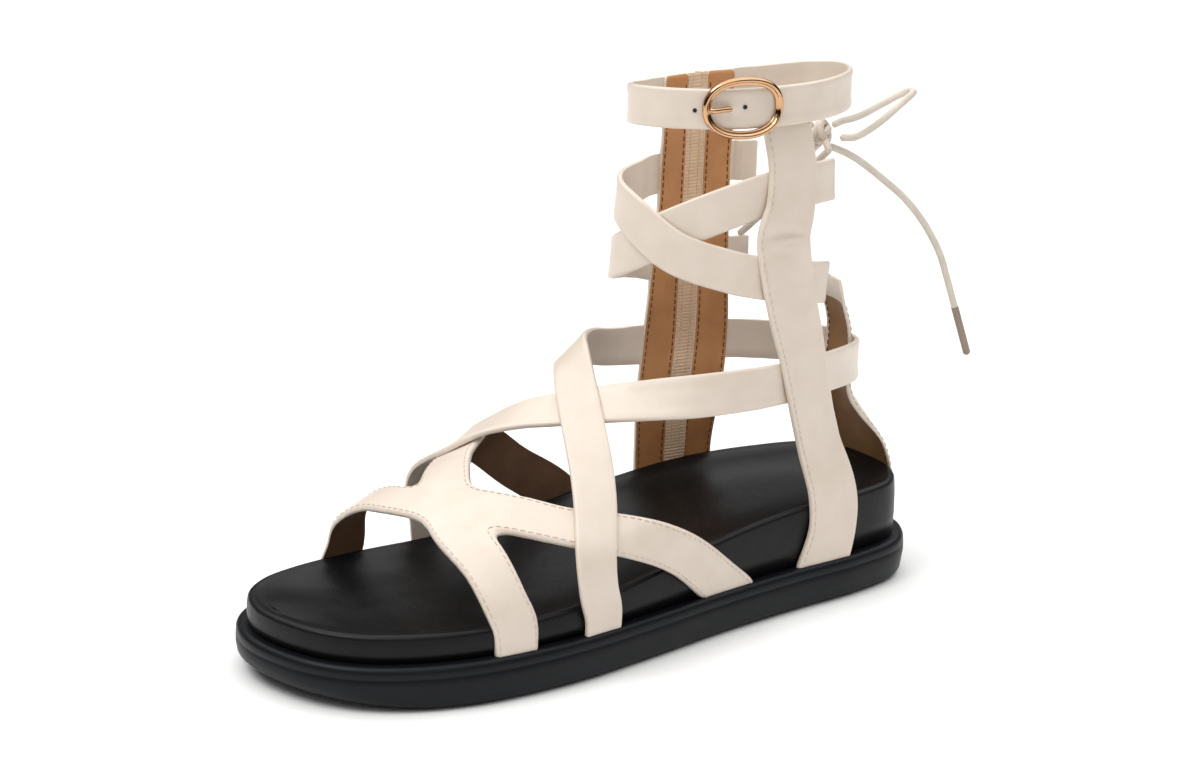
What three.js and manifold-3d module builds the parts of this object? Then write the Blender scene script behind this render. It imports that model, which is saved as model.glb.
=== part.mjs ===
// Left gladiator sandal, EU 38: a flat contoured sole with a cage of leather straps that rises to an
// ankle collar, a zip on the inner side, a buckle on the outer side and a laced back.
// Millimetres, +Z up, toe towards -Y, outer (lateral) side towards +X.
// The origin lies on the floor under the middle of the heel.

import * as THREE from 'three';
import { mergeVertices } from 'three/addons/utils/BufferGeometryUtils.js';
import Module from 'manifold-3d';

const wasm = await Module();
wasm.setup();

// Driving dimensions
const soleLength = 262;        // outsole, heel to toe
const heelCentre = 36;         // from the heel's back edge to the origin
const outsoleHeight = 16;
const toeSpring = 4;           // rise of the outsole's underside at the toe
const archRise = 1.6;          // rise of the outsole's underside under the arch
const welt = 4.4;              // ledge from the outsole's edge in to the footbed's wall
const footbedHeel = 38;        // top of the footbed's rim above the floor, at the heel
const footbedToe = 25.5;       // the same at the toe
const rimRadius = 4.5;         // rounded upper edge of the footbed
const leather = 1.9;           // strap, leather and lining together
const gap = 0.3;               // between pieces that touch
const collarTop = 189;
const collarLength = 82;       // the open collar, front to back
const collarWidth = 50;        // the open collar, side to side
const collarBack = 24;         // the open collar's back, ahead of the sole's back edge
const instepHeight = 98;       // top of the foot where the instep straps meet
const strapWidth = 15;

const degrees = Math.PI / 180;
const { clamp, lerp, smoothstep } = THREE.MathUtils;

// Smooth value of a table's column at a place between its rows
function between(rows, keyColumn, column, key) {
  const last = rows.length - 1;
  let i = 0;
  while (i < last - 1 && key > rows[i + 1][keyColumn]) i += 1;
  const [a, b] = [rows[i], rows[i + 1]];
  const [before, after] = [rows[Math.max(i - 1, 0)], rows[Math.min(i + 2, last)]];
  const span = b[keyColumn] - a[keyColumn];
  const t = clamp((key - a[keyColumn]) / span, 0, 1);
  const slopeA = (b[column] - before[column]) / (b[keyColumn] - before[keyColumn]);
  const slopeB = (after[column] - a[column]) / (after[keyColumn] - a[keyColumn]);
  return a[column] * (1 + 2 * t) * (1 - t) ** 2 + slopeA * span * t * (1 - t) ** 2
    + b[column] * (3 - 2 * t) * t ** 2 - slopeB * span * (1 - t) * t ** 2;
}

// Sole outline
// ahead is the distance from the sole's back edge, lateral and medial the reach to each side
const heelTip = { ahead: 0, x: 0 };
const toeTip = { ahead: soleLength, x: -9 };
const outlineRows = [
  { ahead: 3, lateral: 19.5, medial: 17 },
  { ahead: 14, lateral: 32.5, medial: 29.5 },
  { ahead: 36, lateral: 38, medial: 36 },
  { ahead: 66, lateral: 40, medial: 39.5 },
  { ahead: 100, lateral: 43.5, medial: 40.5 },
  { ahead: 135, lateral: 49, medial: 40.5 },
  { ahead: 170, lateral: 53, medial: 41.5 },
  { ahead: 205, lateral: 51, medial: 43 },
  { ahead: 230, lateral: 42.5, medial: 41 },
  { ahead: 246, lateral: 31, medial: 36 },
  { ahead: 257, lateral: 14, medial: 26 },
];
const outlineSteps = 3;                                        // points for each row
const outlineHalf = (outlineRows.length + 1) * outlineSteps;   // points from heel tip to toe tip

// Outline points, heel tip first, then the lateral side to the toe tip and back along the medial side
function makeOutline() {
  const point = (x, ahead) => new THREE.Vector3(x, heelCentre - ahead, 0);
  const lateral = outlineRows.map((row) => point(row.lateral, row.ahead));
  const medial = outlineRows.map((row) => point(-row.medial, row.ahead)).reverse();
  const corners = [point(heelTip.x, heelTip.ahead), ...lateral, point(toeTip.x, toeTip.ahead), ...medial];
  return new THREE.CatmullRomCurve3(corners, true).getPoints(2 * outlineHalf).slice(0, -1);
}
const outline = makeOutline();

// The outline moved inwards by a distance
function insetOutline(distance) {
  return outline.map((point, i) => {
    const next = outline[(i + 1) % outline.length];
    const before = outline[(i + outline.length - 1) % outline.length];
    const along = next.clone().sub(before).normalize();
    return new THREE.Vector3(point.x + along.y * distance, point.y - along.x * distance, 0);
  });
}

// Reach of the footbed's wall to one side at a distance ahead of the sole's back edge
const wall = insetOutline(welt - gap);
function wallReach(ahead, side) {
  const y = heelCentre - ahead;
  const chain = side > 0 ? wall.slice(0, outlineHalf + 1)
    : [wall[0], ...wall.slice(outlineHalf).reverse()];
  let i = 0;
  while (i < chain.length - 2 && chain[i + 1].y > y) i += 1;
  const t = clamp((y - chain[i].y) / (chain[i + 1].y - chain[i].y), 0, 1);
  return lerp(chain[i].x, chain[i + 1].x, t);
}
const wallHeel = welt - gap;
const wallToe = soleLength - welt + gap;

// The last: level sections through foot and ankle
// z is the level's height. heel, widest and front are distances ahead of the sole's back edge;
// lateral and medial are the reach to each side; middle is the ridge's place from side to side;
// nose and tail say how square the front and the rear half are (2 is an ellipse).
const lastLevels = [
  { z: 16, heel: wallHeel, widest: 165, front: wallToe, lateral: 48.7, medial: 37.2, middle: -8,
    nose: 2.2, tail: 2 },
  { z: 34, heel: wallHeel, widest: 160, front: 234, lateral: 48.7, medial: 37.2, middle: -6,
    nose: 2.1, tail: 2 },
  { z: 46, heel: 5.5, widest: 150, front: 215, lateral: 45, medial: 37.2, middle: -5, nose: 2, tail: 2 },
  { z: 56, heel: 7.5, widest: 135, front: 189, lateral: 38, medial: 36, middle: -5, nose: 2, tail: 2 },
  { z: 68, heel: 11, widest: 115, front: 165, lateral: 34, medial: 35, middle: -6, nose: 1.9, tail: 2.1 },
  { z: 82, heel: 15, widest: 100, front: 142, lateral: 31, medial: 34, middle: -7, nose: 1.8, tail: 2.2 },
  { z: instepHeight, heel: 20, widest: 85, front: 122.5, lateral: 29, medial: 33, middle: -7,
    nose: 1.8, tail: 2.2 },
  { z: 120, heel: 22, widest: 72, front: 115.5, lateral: 27, medial: 31.5, middle: -6, nose: 1.9, tail: 2.2 },
  { z: 150, heel: 23, widest: 66, front: 111, lateral: 24, medial: 30.5, middle: -5, nose: 2, tail: 2.2 },
  { z: 174, heel: collarBack, widest: 65, front: collarBack + collarLength, lateral: 21,
    medial: collarWidth - 21, middle: -5, nose: 2.1, tail: 1.9 },
  { z: collarTop, heel: collarBack, widest: 65, front: collarBack + collarLength, lateral: 21,
    medial: collarWidth - 21, middle: -5, nose: 2.1, tail: 1.8 },
];
const wallTop = 34;            // up to here the last follows the footbed's wall
const ankleStart = 76;         // from here up its sections are plain rounded ovals

function lastSection(z) {
  const size = {};
  for (const column of Object.keys(lastLevels[0])) size[column] = between(lastLevels, 'z', column, z);
  return size;
}

// Point of the last at a height and a turn: 0 outer side, 90 front, 180 inner side, 270 back
function lastPoint(z, turn) {
  const size = lastSection(z);
  const [c, s] = [Math.cos(turn * degrees), Math.sin(turn * degrees)];
  const power = 2 / (s > 0 ? size.nose : size.tail);
  const [across, along] = [Math.abs(c) ** power, Math.abs(s) ** power];
  const side = c > 0 ? size.lateral : -size.medial;
  const end = s > 0 ? size.front : size.heel;
  const ahead = size.widest + (end - size.widest) * along;
  const oval = size.middle * (1 - across) + side * across;
  const wallPlace = lerp(wallHeel, wallToe, (ahead - size.heel) / (size.front - size.heel));
  const foot = wallReach(wallPlace, c) * (side / wallReach(lastLevels[0].widest, c));
  const x = lerp(foot, oval, smoothstep(z, wallTop, ankleStart));
  return new THREE.Vector3(x, heelCentre - ahead, z);
}

// Outward direction of the last at the same place
function lastNormal(z, turn) {
  const around = lastPoint(z, turn + 2).sub(lastPoint(z, turn - 2));
  const upward = lastPoint(z + 2, turn).sub(lastPoint(z - 2, turn));
  return upward.cross(around).normalize();
}

// Turn of the side point of the last at a height and a distance ahead of the sole's back edge
function sideTurn(z, ahead, side) {
  const size = lastSection(z);
  const end = ahead > size.widest ? size.front : size.heel;
  const power = 2 / (ahead > size.widest ? size.nose : size.tail);
  const lift = Math.asin(((ahead - size.widest) / (end - size.widest)) ** (1 / power)) / degrees;
  const turn = ahead > size.widest ? lift : -lift;
  return side > 0 ? turn : 180 - turn;
}

// Closed meshes and their joins
function solidFrom(vertices, triangles) {
  const geometry = new THREE.BufferGeometry();
  const numbers = vertices.flatMap((v) => v.toArray());
  geometry.setAttribute('position', new THREE.Float32BufferAttribute(numbers, 3));
  geometry.setIndex(triangles.flat());
  return geometry;
}

function toManifold(geometry) {
  const plain = geometry.clone();
  plain.deleteAttribute('normal');
  plain.deleteAttribute('uv');
  const merged = mergeVertices(plain, 1e-3);
  return new wasm.Manifold(new wasm.Mesh({
    numProp: 3,
    vertProperties: Float32Array.from(merged.attributes.position.array),
    triVerts: Uint32Array.from(merged.index.array),
  }));
}

function fromManifold(solid) {
  const mesh = solid.getMesh();
  const geometry = new THREE.BufferGeometry();
  geometry.setAttribute('position', new THREE.BufferAttribute(mesh.vertProperties, 3));
  geometry.setIndex(new THREE.BufferAttribute(mesh.triVerts, 1));
  return geometry;
}

// The largest shell, without crumbs and without pockets sealed between layers
const mainShell = (solid) => solid.decompose().sort((a, b) => b.volume() - a.volume())[0];
const joined = (geometries) => fromManifold(
  mainShell(geometries.map(toManifold).reduce((sum, piece) => sum.add(piece))),
);
const cutBy = (geometry, cutters) => fromManifold(
  mainShell(cutters.map(toManifold).reduce((rest, cutter) => rest.subtract(cutter), toManifold(geometry))),
);

// Closed mesh through rings of equally many points, with a flat fan at each end
function loft(rings) {
  const count = rings[0].length;
  const vertices = rings.flat();
  const triangles = [];
  for (let r = 0; r < rings.length - 1; r += 1) {
    for (let i = 0; i < count; i += 1) {
      const [a, b] = [r * count + i, r * count + ((i + 1) % count)];
      triangles.push([a, b, b + count], [a, b + count, a + count]);
    }
  }
  const end = (rings.length - 1) * count;
  for (let i = 1; i < count - 1; i += 1) {
    triangles.push([0, i + 1, i], [end, end + i, end + i + 1]);
  }
  return solidFrom(vertices, triangles);
}

// Sole
const aheadOf = (point) => heelCentre - point.y;
const rimHeight = (ahead) => lerp(
  footbedHeel, footbedToe, smoothstep(ahead, 0.2 * soleLength, 0.72 * soleLength),
);

// Edge of the outsole's underside: flat under heel and forefoot, rising at the toe
const underside = (ahead) => smoothstep(ahead, 215, soleLength) * toeSpring;
// Hollow of the underside under the arch
const archHollow = (ahead, across) => (
  Math.sin(Math.PI * clamp((ahead - 75) / 65, 0, 1)) ** 2 * archRise * (1 - across ** 2)
);

// Body between a stack of outline rings, closed below and above by rungs from side to side.
// layers: inset from the outline and height at a distance ahead; sink lowers the top between the rims
// and hollow raises the underside
function soleBody(layers, rungs, sink, hollow = () => 0) {
  const rings = layers.map(({ inset, height }) => insetOutline(inset)
    .map((point) => point.clone().setZ(height(aheadOf(point)))));
  const count = outline.length;
  const vertices = rings.flat();
  const triangles = [];
  for (let r = 0; r < rings.length - 1; r += 1) {
    for (let i = 0; i < count; i += 1) {
      const [a, b] = [r * count + i, r * count + ((i + 1) % count)];
      triangles.push([a, b + count, b], [a, a + count, b + count]);
    }
  }
  const cover = (base, lower, facing) => {
    const rows = [];
    for (let k = 0; k <= outlineHalf; k += 1) {
      const [right, left] = [base + k, base + ((count - k) % count)];
      const row = [right];
      for (let j = 1; j < rungs && right !== left; j += 1) {
        const point = vertices[right].clone().lerp(vertices[left], j / rungs);
        point.z -= lower(aheadOf(point), (2 * j) / rungs - 1);
        row.push(vertices.push(point) - 1);
      }
      rows.push(right === left ? row : [...row, left]);
    }
    for (let k = 0; k < outlineHalf; k += 1) {
      const [a, b] = [rows[k], rows[k + 1]];
      for (let j = 0; j < rungs; j += 1) {
        const corners = [a[Math.min(j, a.length - 1)], b[Math.min(j, b.length - 1)],
          b[Math.min(j + 1, b.length - 1)], a[Math.min(j + 1, a.length - 1)]];
        const quad = facing < 0 ? corners : corners.slice().reverse();
        if (new Set([quad[0], quad[1], quad[2]]).size === 3) triangles.push([quad[0], quad[1], quad[2]]);
        if (new Set([quad[0], quad[2], quad[3]]).size === 3) triangles.push([quad[0], quad[2], quad[3]]);
      }
    }
  };
  cover(0, (ahead, across) => -hollow(ahead, across), -1);
  cover((rings.length - 1) * count, sink, 1);
  return solidFrom(vertices, triangles);
}

function makeOutsole() {
  const top = outsoleHeight;
  return soleBody([
    { inset: 3.5, height: underside },
    { inset: 1, height: (ahead) => underside(ahead) + 2.2 },
    { inset: 0, height: () => 8.5 },
    { inset: 0.2, height: () => top - 3 },
    { inset: 1.6, height: () => top },
  ], 4, () => 0, archHollow);
}

// Depth of the footbed's bowl below its rim: a cup at the heel, shallower under the toes
function bowl(ahead, across) {
  const depth = lerp(5, 3, smoothstep(ahead, 60, 190));
  const ends = smoothstep(ahead, 8, 34) * (1 - smoothstep(ahead, 225, 254));
  return depth * ends * (1 - across ** 4);
}

function footbedBody(grow) {
  const foot = outsoleHeight + gap - grow;
  const rimDrop = (share) => (ahead) => rimHeight(ahead) - share * rimRadius + grow;
  return soleBody([
    { inset: welt - grow, height: () => foot },
    { inset: welt - 0.6 - grow, height: (ahead) => lerp(foot, rimHeight(ahead) - rimRadius, 0.5) },
    { inset: welt - grow, height: rimDrop(1) },
    { inset: welt + 0.3 * rimRadius - grow, height: rimDrop(0.3) },
    { inset: welt + rimRadius - grow, height: rimDrop(0) },
  ], 6, (ahead, across) => bowl(ahead, across));
}

// Straps
// A strap follows its route on the last. Rows give height and turn, or height and distance ahead on
// one side; layer counts the straps that it lies on.
function routePoint(rows, at, side) {
  const z = between(rows, 'at', 'z', at);
  const turn = side ? sideTurn(z, between(rows, 'at', 'ahead', at), side) : between(rows, 'at', 'turn', at);
  return { z, turn };
}

// upright, from 0 to 1, turns its face from square on the last to vertical
function strap({
  route, width = strapWidth, layer = 0, side = 0, samples = 16, thickness = leather, base = 0, upright = 0,
}) {
  const rows = route.map((row, at) => ({ at, width, layer, upright, ...row }));
  const stations = Array.from({ length: samples + 1 }, (_, i) => {
    const at = (i / samples) * (rows.length - 1);
    const { z, turn } = routePoint(rows, at, side);
    const normal = lastNormal(z, turn);
    normal.z *= 1 - between(rows, 'at', 'upright', at);
    normal.normalize();
    const lift = base + between(rows, 'at', 'layer', at) * (leather - 0.1);
    return {
      centre: lastPoint(z, turn).addScaledVector(normal, lift),
      normal,
      width: between(rows, 'at', 'width', at),
    };
  });
  const rings = stations.map(({ centre, normal, width: wide }, i) => {
    const [a, b] = [stations[Math.max(i - 1, 0)], stations[Math.min(i + 1, samples)]];
    const along = b.centre.clone().sub(a.centre).normalize();
    const across = normal.clone().cross(along).normalize().multiplyScalar(wide / 2);
    const out = along.clone().cross(across).normalize().multiplyScalar(thickness);
    const corner = (s, t) => centre.clone().addScaledVector(across, s).addScaledVector(out, t);
    return [corner(-1, 0), corner(1, 0), corner(1, 1), corner(-1, 1)];
  });
  return loft(rings);
}

const soleEdge = outsoleHeight - 4;     // strap ends start below the ledge and are trimmed by it

// One cut piece over the toes: two bands that cross
const vampFrontToHeel = {
  samples: 24,
  route: [
    { z: soleEdge, turn: 150, width: 17 }, { z: 28, turn: 146, width: 16 },
    { z: 38, turn: 135, width: 15.5 }, { z: 45, turn: 123, width: 15.5 },
    { z: 49, turn: 112, width: 15 }, { z: 51.5, turn: 96, width: 15.5 },
    { z: 54, turn: 70, width: 19 }, { z: 54, turn: 46, width: 17 },
    { z: 51, turn: 20, width: 15 }, { z: 45, turn: -4, width: 15 },
    { z: 34, turn: -15, width: 16 }, { z: soleEdge, turn: -26, width: 18 },
  ],
};
const vampHeelToFront = {
  samples: 24,
  route: [
    { z: soleEdge, turn: 14, width: 15.5 }, { z: 24, turn: 17.2, width: 16 },
    { z: 33, turn: 24.5, width: 15.5 }, { z: 43, turn: 38, width: 16 },
    { z: 50.5, turn: 60, width: 18 }, { z: 56, turn: 84, width: 19 },
    { z: 60, turn: 107, width: 18 }, { z: 62.5, turn: 124, width: 17 },
    { z: 57, turn: 158, width: 16 }, { z: 46, turn: 184, width: 16 },
    { z: 31, turn: 195, width: 17 }, { z: soleEdge, turn: 199, width: 18 },
  ],
};
// Outer sole edge, over the instep, to the zip panel
const instepOuter = {
  layer: 1,
  samples: 24,
  route: [
    { z: soleEdge, turn: -3, layer: 0 }, { z: 22, turn: -2.5, layer: 0.1 },
    { z: 32, turn: -0.5, layer: 0.5 },
    { z: 43, turn: 5, layer: 0.9 }, { z: 55.5, turn: 18 }, { z: 65, turn: 35 }, { z: 74.3, turn: 52 },
    { z: 84, turn: 73 }, { z: 89.5, turn: 94 }, { z: 91, turn: 118 }, { z: 89, turn: 146, layer: 0.6 },
    { z: 86, turn: 172, layer: 0 }, { z: 84, turn: 192, layer: 0 },
  ],
};
// Inner sole edge, over the toe piece, under the other instep strap, to the outer band and on round
// the heel
const instepInner = {
  samples: 36,
  route: [
    { z: soleEdge, turn: 176 }, { z: 30, turn: 172, layer: 0.3 }, { z: 48, turn: 154, layer: 1 },
    { z: 61.5, turn: 124, layer: 1 }, { z: 69, turn: 110, layer: 1 }, { z: 75, turn: 91, layer: 0.5 },
    { z: 79, turn: 73 }, { z: 82, turn: 55 }, { z: 84, turn: 36 }, { z: 85, turn: 10 },
    { z: 84, turn: -15, upright: 0.5 }, { z: 83, turn: -40, upright: 1 }, { z: 80, turn: -70, upright: 1 },
    { z: 79, turn: -100, upright: 1 }, { z: 81, turn: -130, upright: 1 }, { z: 83, turn: -150, upright: 0.5 },
    { z: 83, turn: -165 },
  ],
};
const ankleLower = {
  layer: 1,
  upright: 0.6,
  samples: 22,
  route: [
    { z: 117, turn: -27, layer: 0 }, { z: 119, turn: -12, layer: 0 }, { z: 122, turn: 4, layer: 0 },
    { z: 126, turn: 26, layer: 0.6 }, { z: 133, turn: 54 }, { z: 144, turn: 82 },
    { z: 148, turn: 108, layer: 0.6 }, { z: 149, turn: 140, layer: 0 }, { z: 150, turn: 170, layer: 0 },
    { z: 151, turn: 195, layer: 0 }, { z: 151, turn: 214, layer: 0 },
  ],
};
const ankleUpper = {
  upright: 0.6,
  samples: 22,
  route: [
    { z: 153, turn: -29 }, { z: 153, turn: -12 }, { z: 152, turn: 8 }, { z: 147, turn: 33 },
    { z: 140, turn: 57 }, { z: 131, turn: 84 }, { z: 125, turn: 115 }, { z: 121, turn: 145 },
    { z: 116, turn: 172 }, { z: 115, turn: 195 }, { z: 115, turn: 215 },
  ],
};
const collar = {
  layer: 1,
  upright: 1,
  width: 14,
  samples: 30,
  route: [
    { z: 178, turn: 176, layer: 0 }, { z: 178.4, turn: 150, layer: 0.4 }, { z: 179.8, turn: 120 },
    { z: 181.5, turn: 90 }, { z: 182.2, turn: 60 }, { z: 182, turn: 30 }, { z: 182, turn: 0 },
    { z: 182, turn: -30 }, { z: 182, turn: -60 }, { z: 182, turn: -90 }, { z: 180.8, turn: -120 },
    { z: 179, turn: -150, layer: 0.4 }, { z: 178, turn: -172, layer: 0 },
  ],
};
const outerBand = {
  side: 1,
  layer: 1,
  samples: 20,
  route: [
    { z: collarTop - 1, ahead: 64.5, width: 20, layer: 0 }, { z: 175, ahead: 64.8, width: 20, layer: 0 },
    { z: 160, ahead: 64.6, width: 20 }, { z: 146, ahead: 66.3, width: 20.5 },
    { z: 134, ahead: 69.5, width: 22 }, { z: 112, ahead: 66.5, width: 22 }, { z: 94, ahead: 61.5, width: 22 },
    { z: 76, ahead: 57.5, width: 22 }, { z: 59, ahead: 52.8, width: 22 },
    { z: 42, ahead: 49, width: 22, layer: 0 }, { z: 28, ahead: 49.5, width: 22, layer: 0 },
    { z: soleEdge, ahead: 54, width: 24, layer: 0 },
  ],
};

// Inner panel, in one piece below the zip's slot
const zipSlot = 7.6;
const zipBottom = 42;
const panelTop = 185.5;
const panelRows = [
  { z: panelTop, ahead: 66.5, half: 15.5 }, { z: 140, ahead: 66.5, half: 16 },
  { z: 107, ahead: 67, half: 17 }, { z: 85, ahead: 67.5, half: 18 }, { z: 66, ahead: 69.4, half: 18 },
  { z: zipBottom, ahead: 69.6, half: 17 }, { z: 28, ahead: 69.6, half: 17 },
  { z: soleEdge, ahead: 69.6, half: 17.5 },
];
const panel = {
  side: -1,
  samples: 20,
  route: panelRows.map(({ z, ahead, half }) => ({ z, ahead, width: 2 * half })),
};
// Strip along the zip, from a height above the slot's lower end
const zipStrip = (bottom, width, thickness, base) => strap({
  route: [
    ...panelRows.filter(({ z }) => z > zipBottom).map(({ z, ahead }) => ({ z, ahead })),
    { z: zipBottom + bottom, ahead: 69.6 },
  ],
  side: -1,
  width,
  thickness,
  base,
  samples: 14,
});

const footbed = footbedBody(0);
const outsole = makeOutsole();
const footbedClearance = footbedBody(gap);
const outsoleClearance = soleBody([
  { inset: -8, height: () => outsoleHeight - 12 },
  { inset: -8, height: () => outsoleHeight + gap },
], 1, () => 0);

const upper = cutBy(joined([
  strap(vampFrontToHeel), strap(vampHeelToFront), strap(instepOuter), strap(instepInner),
  strap(ankleLower), strap(ankleUpper), strap(collar), strap(outerBand), strap(panel),
]), [footbedClearance, outsoleClearance, zipStrip(0, zipSlot, 14, -6)]);

// Heel counter
// A tall strip at the back, outside the footbed's wall and inside the heel strap.
// half is its reach to each side; inside counts how far it lies within the straps, in thicknesses;
// on is the height of the last's section that it follows there
const counterRows = [
  { z: soleEdge, half: 17, inside: 0, on: soleEdge }, { z: 26, half: 17, inside: 0, on: 26 },
  { z: 38, half: 16, inside: 0, on: 38 }, { z: 50, half: 14.5, inside: 0.5, on: 52 },
  { z: 61, half: 13, inside: 1, on: 67 }, { z: 70, half: 12, inside: 1.1, on: 81 },
  { z: 90, half: 10.5, inside: 1.1, on: 83 }, { z: 103, half: 9.5, inside: 1.1, on: 96 },
  { z: 109, half: 6, inside: 1.1, on: 104 },
];
const counterMiddle = -1;      // its centre line, to the inner side
const counterColumns = 6;
const counterLeather = 1.5;

// Turn of the last's back point that lies at a distance from the middle plane
function backTurn(z, x) {
  let [low, high] = [-150, -30];
  for (let step = 0; step < 24; step += 1) {
    const turn = (low + high) / 2;
    if (lastPoint(z, turn).x < x) low = turn; else high = turn;
  }
  return (low + high) / 2;
}

function makeCounter() {
  const rings = counterRows.map(({ z, half, inside, on }) => {
    const columns = Array.from({ length: counterColumns + 1 }, (_, i) => {
      const turn = backTurn(on, counterMiddle + half * ((2 * i) / counterColumns - 1));
      const normal = lastNormal(on, turn).setZ(0).normalize();
      const inner = lastPoint(on, turn).setZ(z).addScaledVector(normal, -inside * (counterLeather + gap));
      return { inner, outer: inner.clone().addScaledVector(normal, counterLeather) };
    });
    return [...columns.map(({ inner }) => inner), ...columns.reverse().map(({ outer }) => outer)];
  });
  return cutBy(loft(rings), [footbedClearance, outsoleClearance]);
}

// Zip
const tapeThickness = 1;
const teethThickness = 1.1;
const tapeBase = 0.2;
const zipTeethBase = tapeBase + tapeThickness + gap;
const sliderBase = zipTeethBase + teethThickness + gap;

// Frame on the last: x along the strap's width or the floor, y up, z outwards
function placeOn(mesh, z, turn, lift) {
  const normal = lastNormal(z, turn).setZ(0).normalize();
  const across = new THREE.Vector3(0, 0, 1).cross(normal);
  const frame = new THREE.Matrix4().makeBasis(across, new THREE.Vector3(0, 0, 1), normal);
  mesh.quaternion.setFromRotationMatrix(frame);
  mesh.position.copy(lastPoint(z, turn).addScaledVector(normal, lift));
  return mesh;
}

const plate = (points, depth) => (
  new THREE.ExtrudeGeometry(new THREE.Shape(points), { depth, bevelEnabled: false })
);
const at = (x, y) => new THREE.Vector2(x, y);

const slider = {
  width: 8.6, nose: 5, height: 12, body: 1.6, arch: 1.2, archWidth: 1.8, opening: 2.2, reach: 3.8,
};
const pullAxis = slider.body + slider.opening / 2;     // outwards from the slider's back face

function makeSlider() {
  const { width, nose, height, body, arch, archWidth, opening, reach } = slider;
  const base = plate([
    at(-nose / 2, -height / 2), at(nose / 2, -height / 2), at(width / 2, 1), at(width / 2, height / 2 - 1),
    at(width / 2 - 1.5, height / 2), at(-width / 2 + 1.5, height / 2), at(-width / 2, height / 2 - 1),
    at(-width / 2, 1),
  ], body);
  const top = body + opening + arch;
  const bridge = plate([
    at(-reach, body - 0.2), at(-reach, top - 0.6), at(-reach + 0.8, top), at(reach - 0.8, top),
    at(reach, top - 0.6), at(reach, body - 0.2), at(reach - 1.4, body - 0.2), at(reach - 1.4, body + opening),
    at(-reach + 1.4, body + opening), at(-reach + 1.4, body - 0.2),
  ], archWidth).translate(0, 0, -archWidth / 2);
  const [right, up, out] = [[1, 0, 0], [0, 1, 0], [0, 0, 1]].map((axis) => new THREE.Vector3(...axis));
  return joined([base, bridge.applyMatrix4(new THREE.Matrix4().makeBasis(up, out, right))]);
}

const pull = { width: 7.2, length: 19, thick: 1.2, bar: 1.3, window: 3.4, windowLength: 5, slot: 5.5 };
function makePull() {
  const { width, length, thick, bar, window, windowLength, slot } = pull;
  const shape = new THREE.Shape([
    at(-width / 2, bar / 2), at(-width / 2 + 0.3, -length + 1.5), at(-width / 2 + 1.4, -length),
    at(width / 2 - 1.4, -length), at(width / 2 - 0.3, -length + 1.5), at(width / 2, bar / 2),
  ]);
  const hole = (top, bottom) => new THREE.Path([
    at(-window / 2, top), at(window / 2, top), at(window / 2, bottom), at(-window / 2, bottom),
  ]);
  shape.holes.push(hole(-bar / 2, -windowLength), hole(-windowLength - 2.2, -windowLength - 2.2 - slot));
  return new THREE.ExtrudeGeometry(shape, { depth: thick, bevelEnabled: false })
    .translate(0, 0, -thick / 2);
}

// Buckle
// Closed ring of round wire on an oval centre line
function ovalRing(halfWidth, halfHeight, wire, square, sides, steps) {
  const geometry = new THREE.TorusGeometry(10, wire, sides, steps);
  const places = geometry.attributes.position;
  for (let i = 0; i < places.count; i += 1) {
    const point = new THREE.Vector3().fromBufferAttribute(places, i);
    const turn = Math.atan2(point.y, point.x);
    const out = Math.hypot(point.x, point.y) - 10;
    const oval = (size, share) => size * Math.sign(share) * Math.abs(share) ** (2 / square);
    const centre = at(oval(halfWidth, Math.cos(turn)), oval(halfHeight, Math.sin(turn)));
    places.setXY(i, centre.x + out * Math.cos(turn), centre.y + out * Math.sin(turn));
  }
  return geometry;
}
const buckle = { turn: 25, z: 182.5, halfWidth: 13, halfHeight: 9.1, wire: 1.25, square: 2.3 };
const collarFace = 2 * leather - 0.1;

// Lace
const cordRadius = 1.3;
const spot = (x, ahead, z) => new THREE.Vector3(x, heelCentre - ahead, z);

// Straight round bar between two points
function bar(from, to) {
  const geometry = new THREE.CylinderGeometry(cordRadius, cordRadius, from.distanceTo(to), 8);
  const turn = new THREE.Quaternion().setFromUnitVectors(
    new THREE.Vector3(0, 1, 0), to.clone().sub(from).normalize(),
  );
  const middle = from.clone().lerp(to, 0.5);
  return geometry.applyQuaternion(turn).translate(middle.x, middle.y, middle.z);
}

// Round cord along a route
function cord(points, radius = cordRadius) {
  const path = new THREE.CatmullRomCurve3(points, false, 'centripetal');
  const section = new THREE.Shape().absarc(0, 0, radius, 0, 2 * Math.PI);
  const steps = Math.ceil(path.getLength() / (5 * cordRadius));
  return new THREE.ExtrudeGeometry(section, {
    extrudePath: path, steps, curveSegments: 4, bevelEnabled: false,
  });
}

const knotCentre = spot(9.5, 39.8, 167.5);
const knotSize = { x: 4.5, y: 3.2, z: 4 };
// The lace crosses behind the ankle, from each lower tab to the other side's upper tab
const crossing = {
  lowerInner: spot(-25.5, 48.5, 124.4), upperOuter: spot(15.5, 41.2, 162.2),
  lowerOuter: spot(20, 53, 127.4), upperInner: spot(-21, 38.4, 157.8),
};
function makeCrossings() {
  const { lowerInner, upperOuter, lowerOuter, upperInner } = crossing;
  const middle = lowerInner.clone().lerp(upperOuter, 0.5);
  const toKnot = (corner, share) => corner.clone().lerp(knotCentre, share);
  return joined([
    bar(lowerInner, upperOuter), bar(lowerOuter, middle), bar(middle, upperInner),
    bar(upperOuter, toKnot(upperOuter, 0.35)), bar(upperInner, toKnot(upperInner, 0.82)),
  ]);
}
// Straight run between the rear ends of the lower tabs
const lowerRun = [spot(19.5, 42.5, 117), spot(-24.5, 39, 115.5)];

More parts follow.
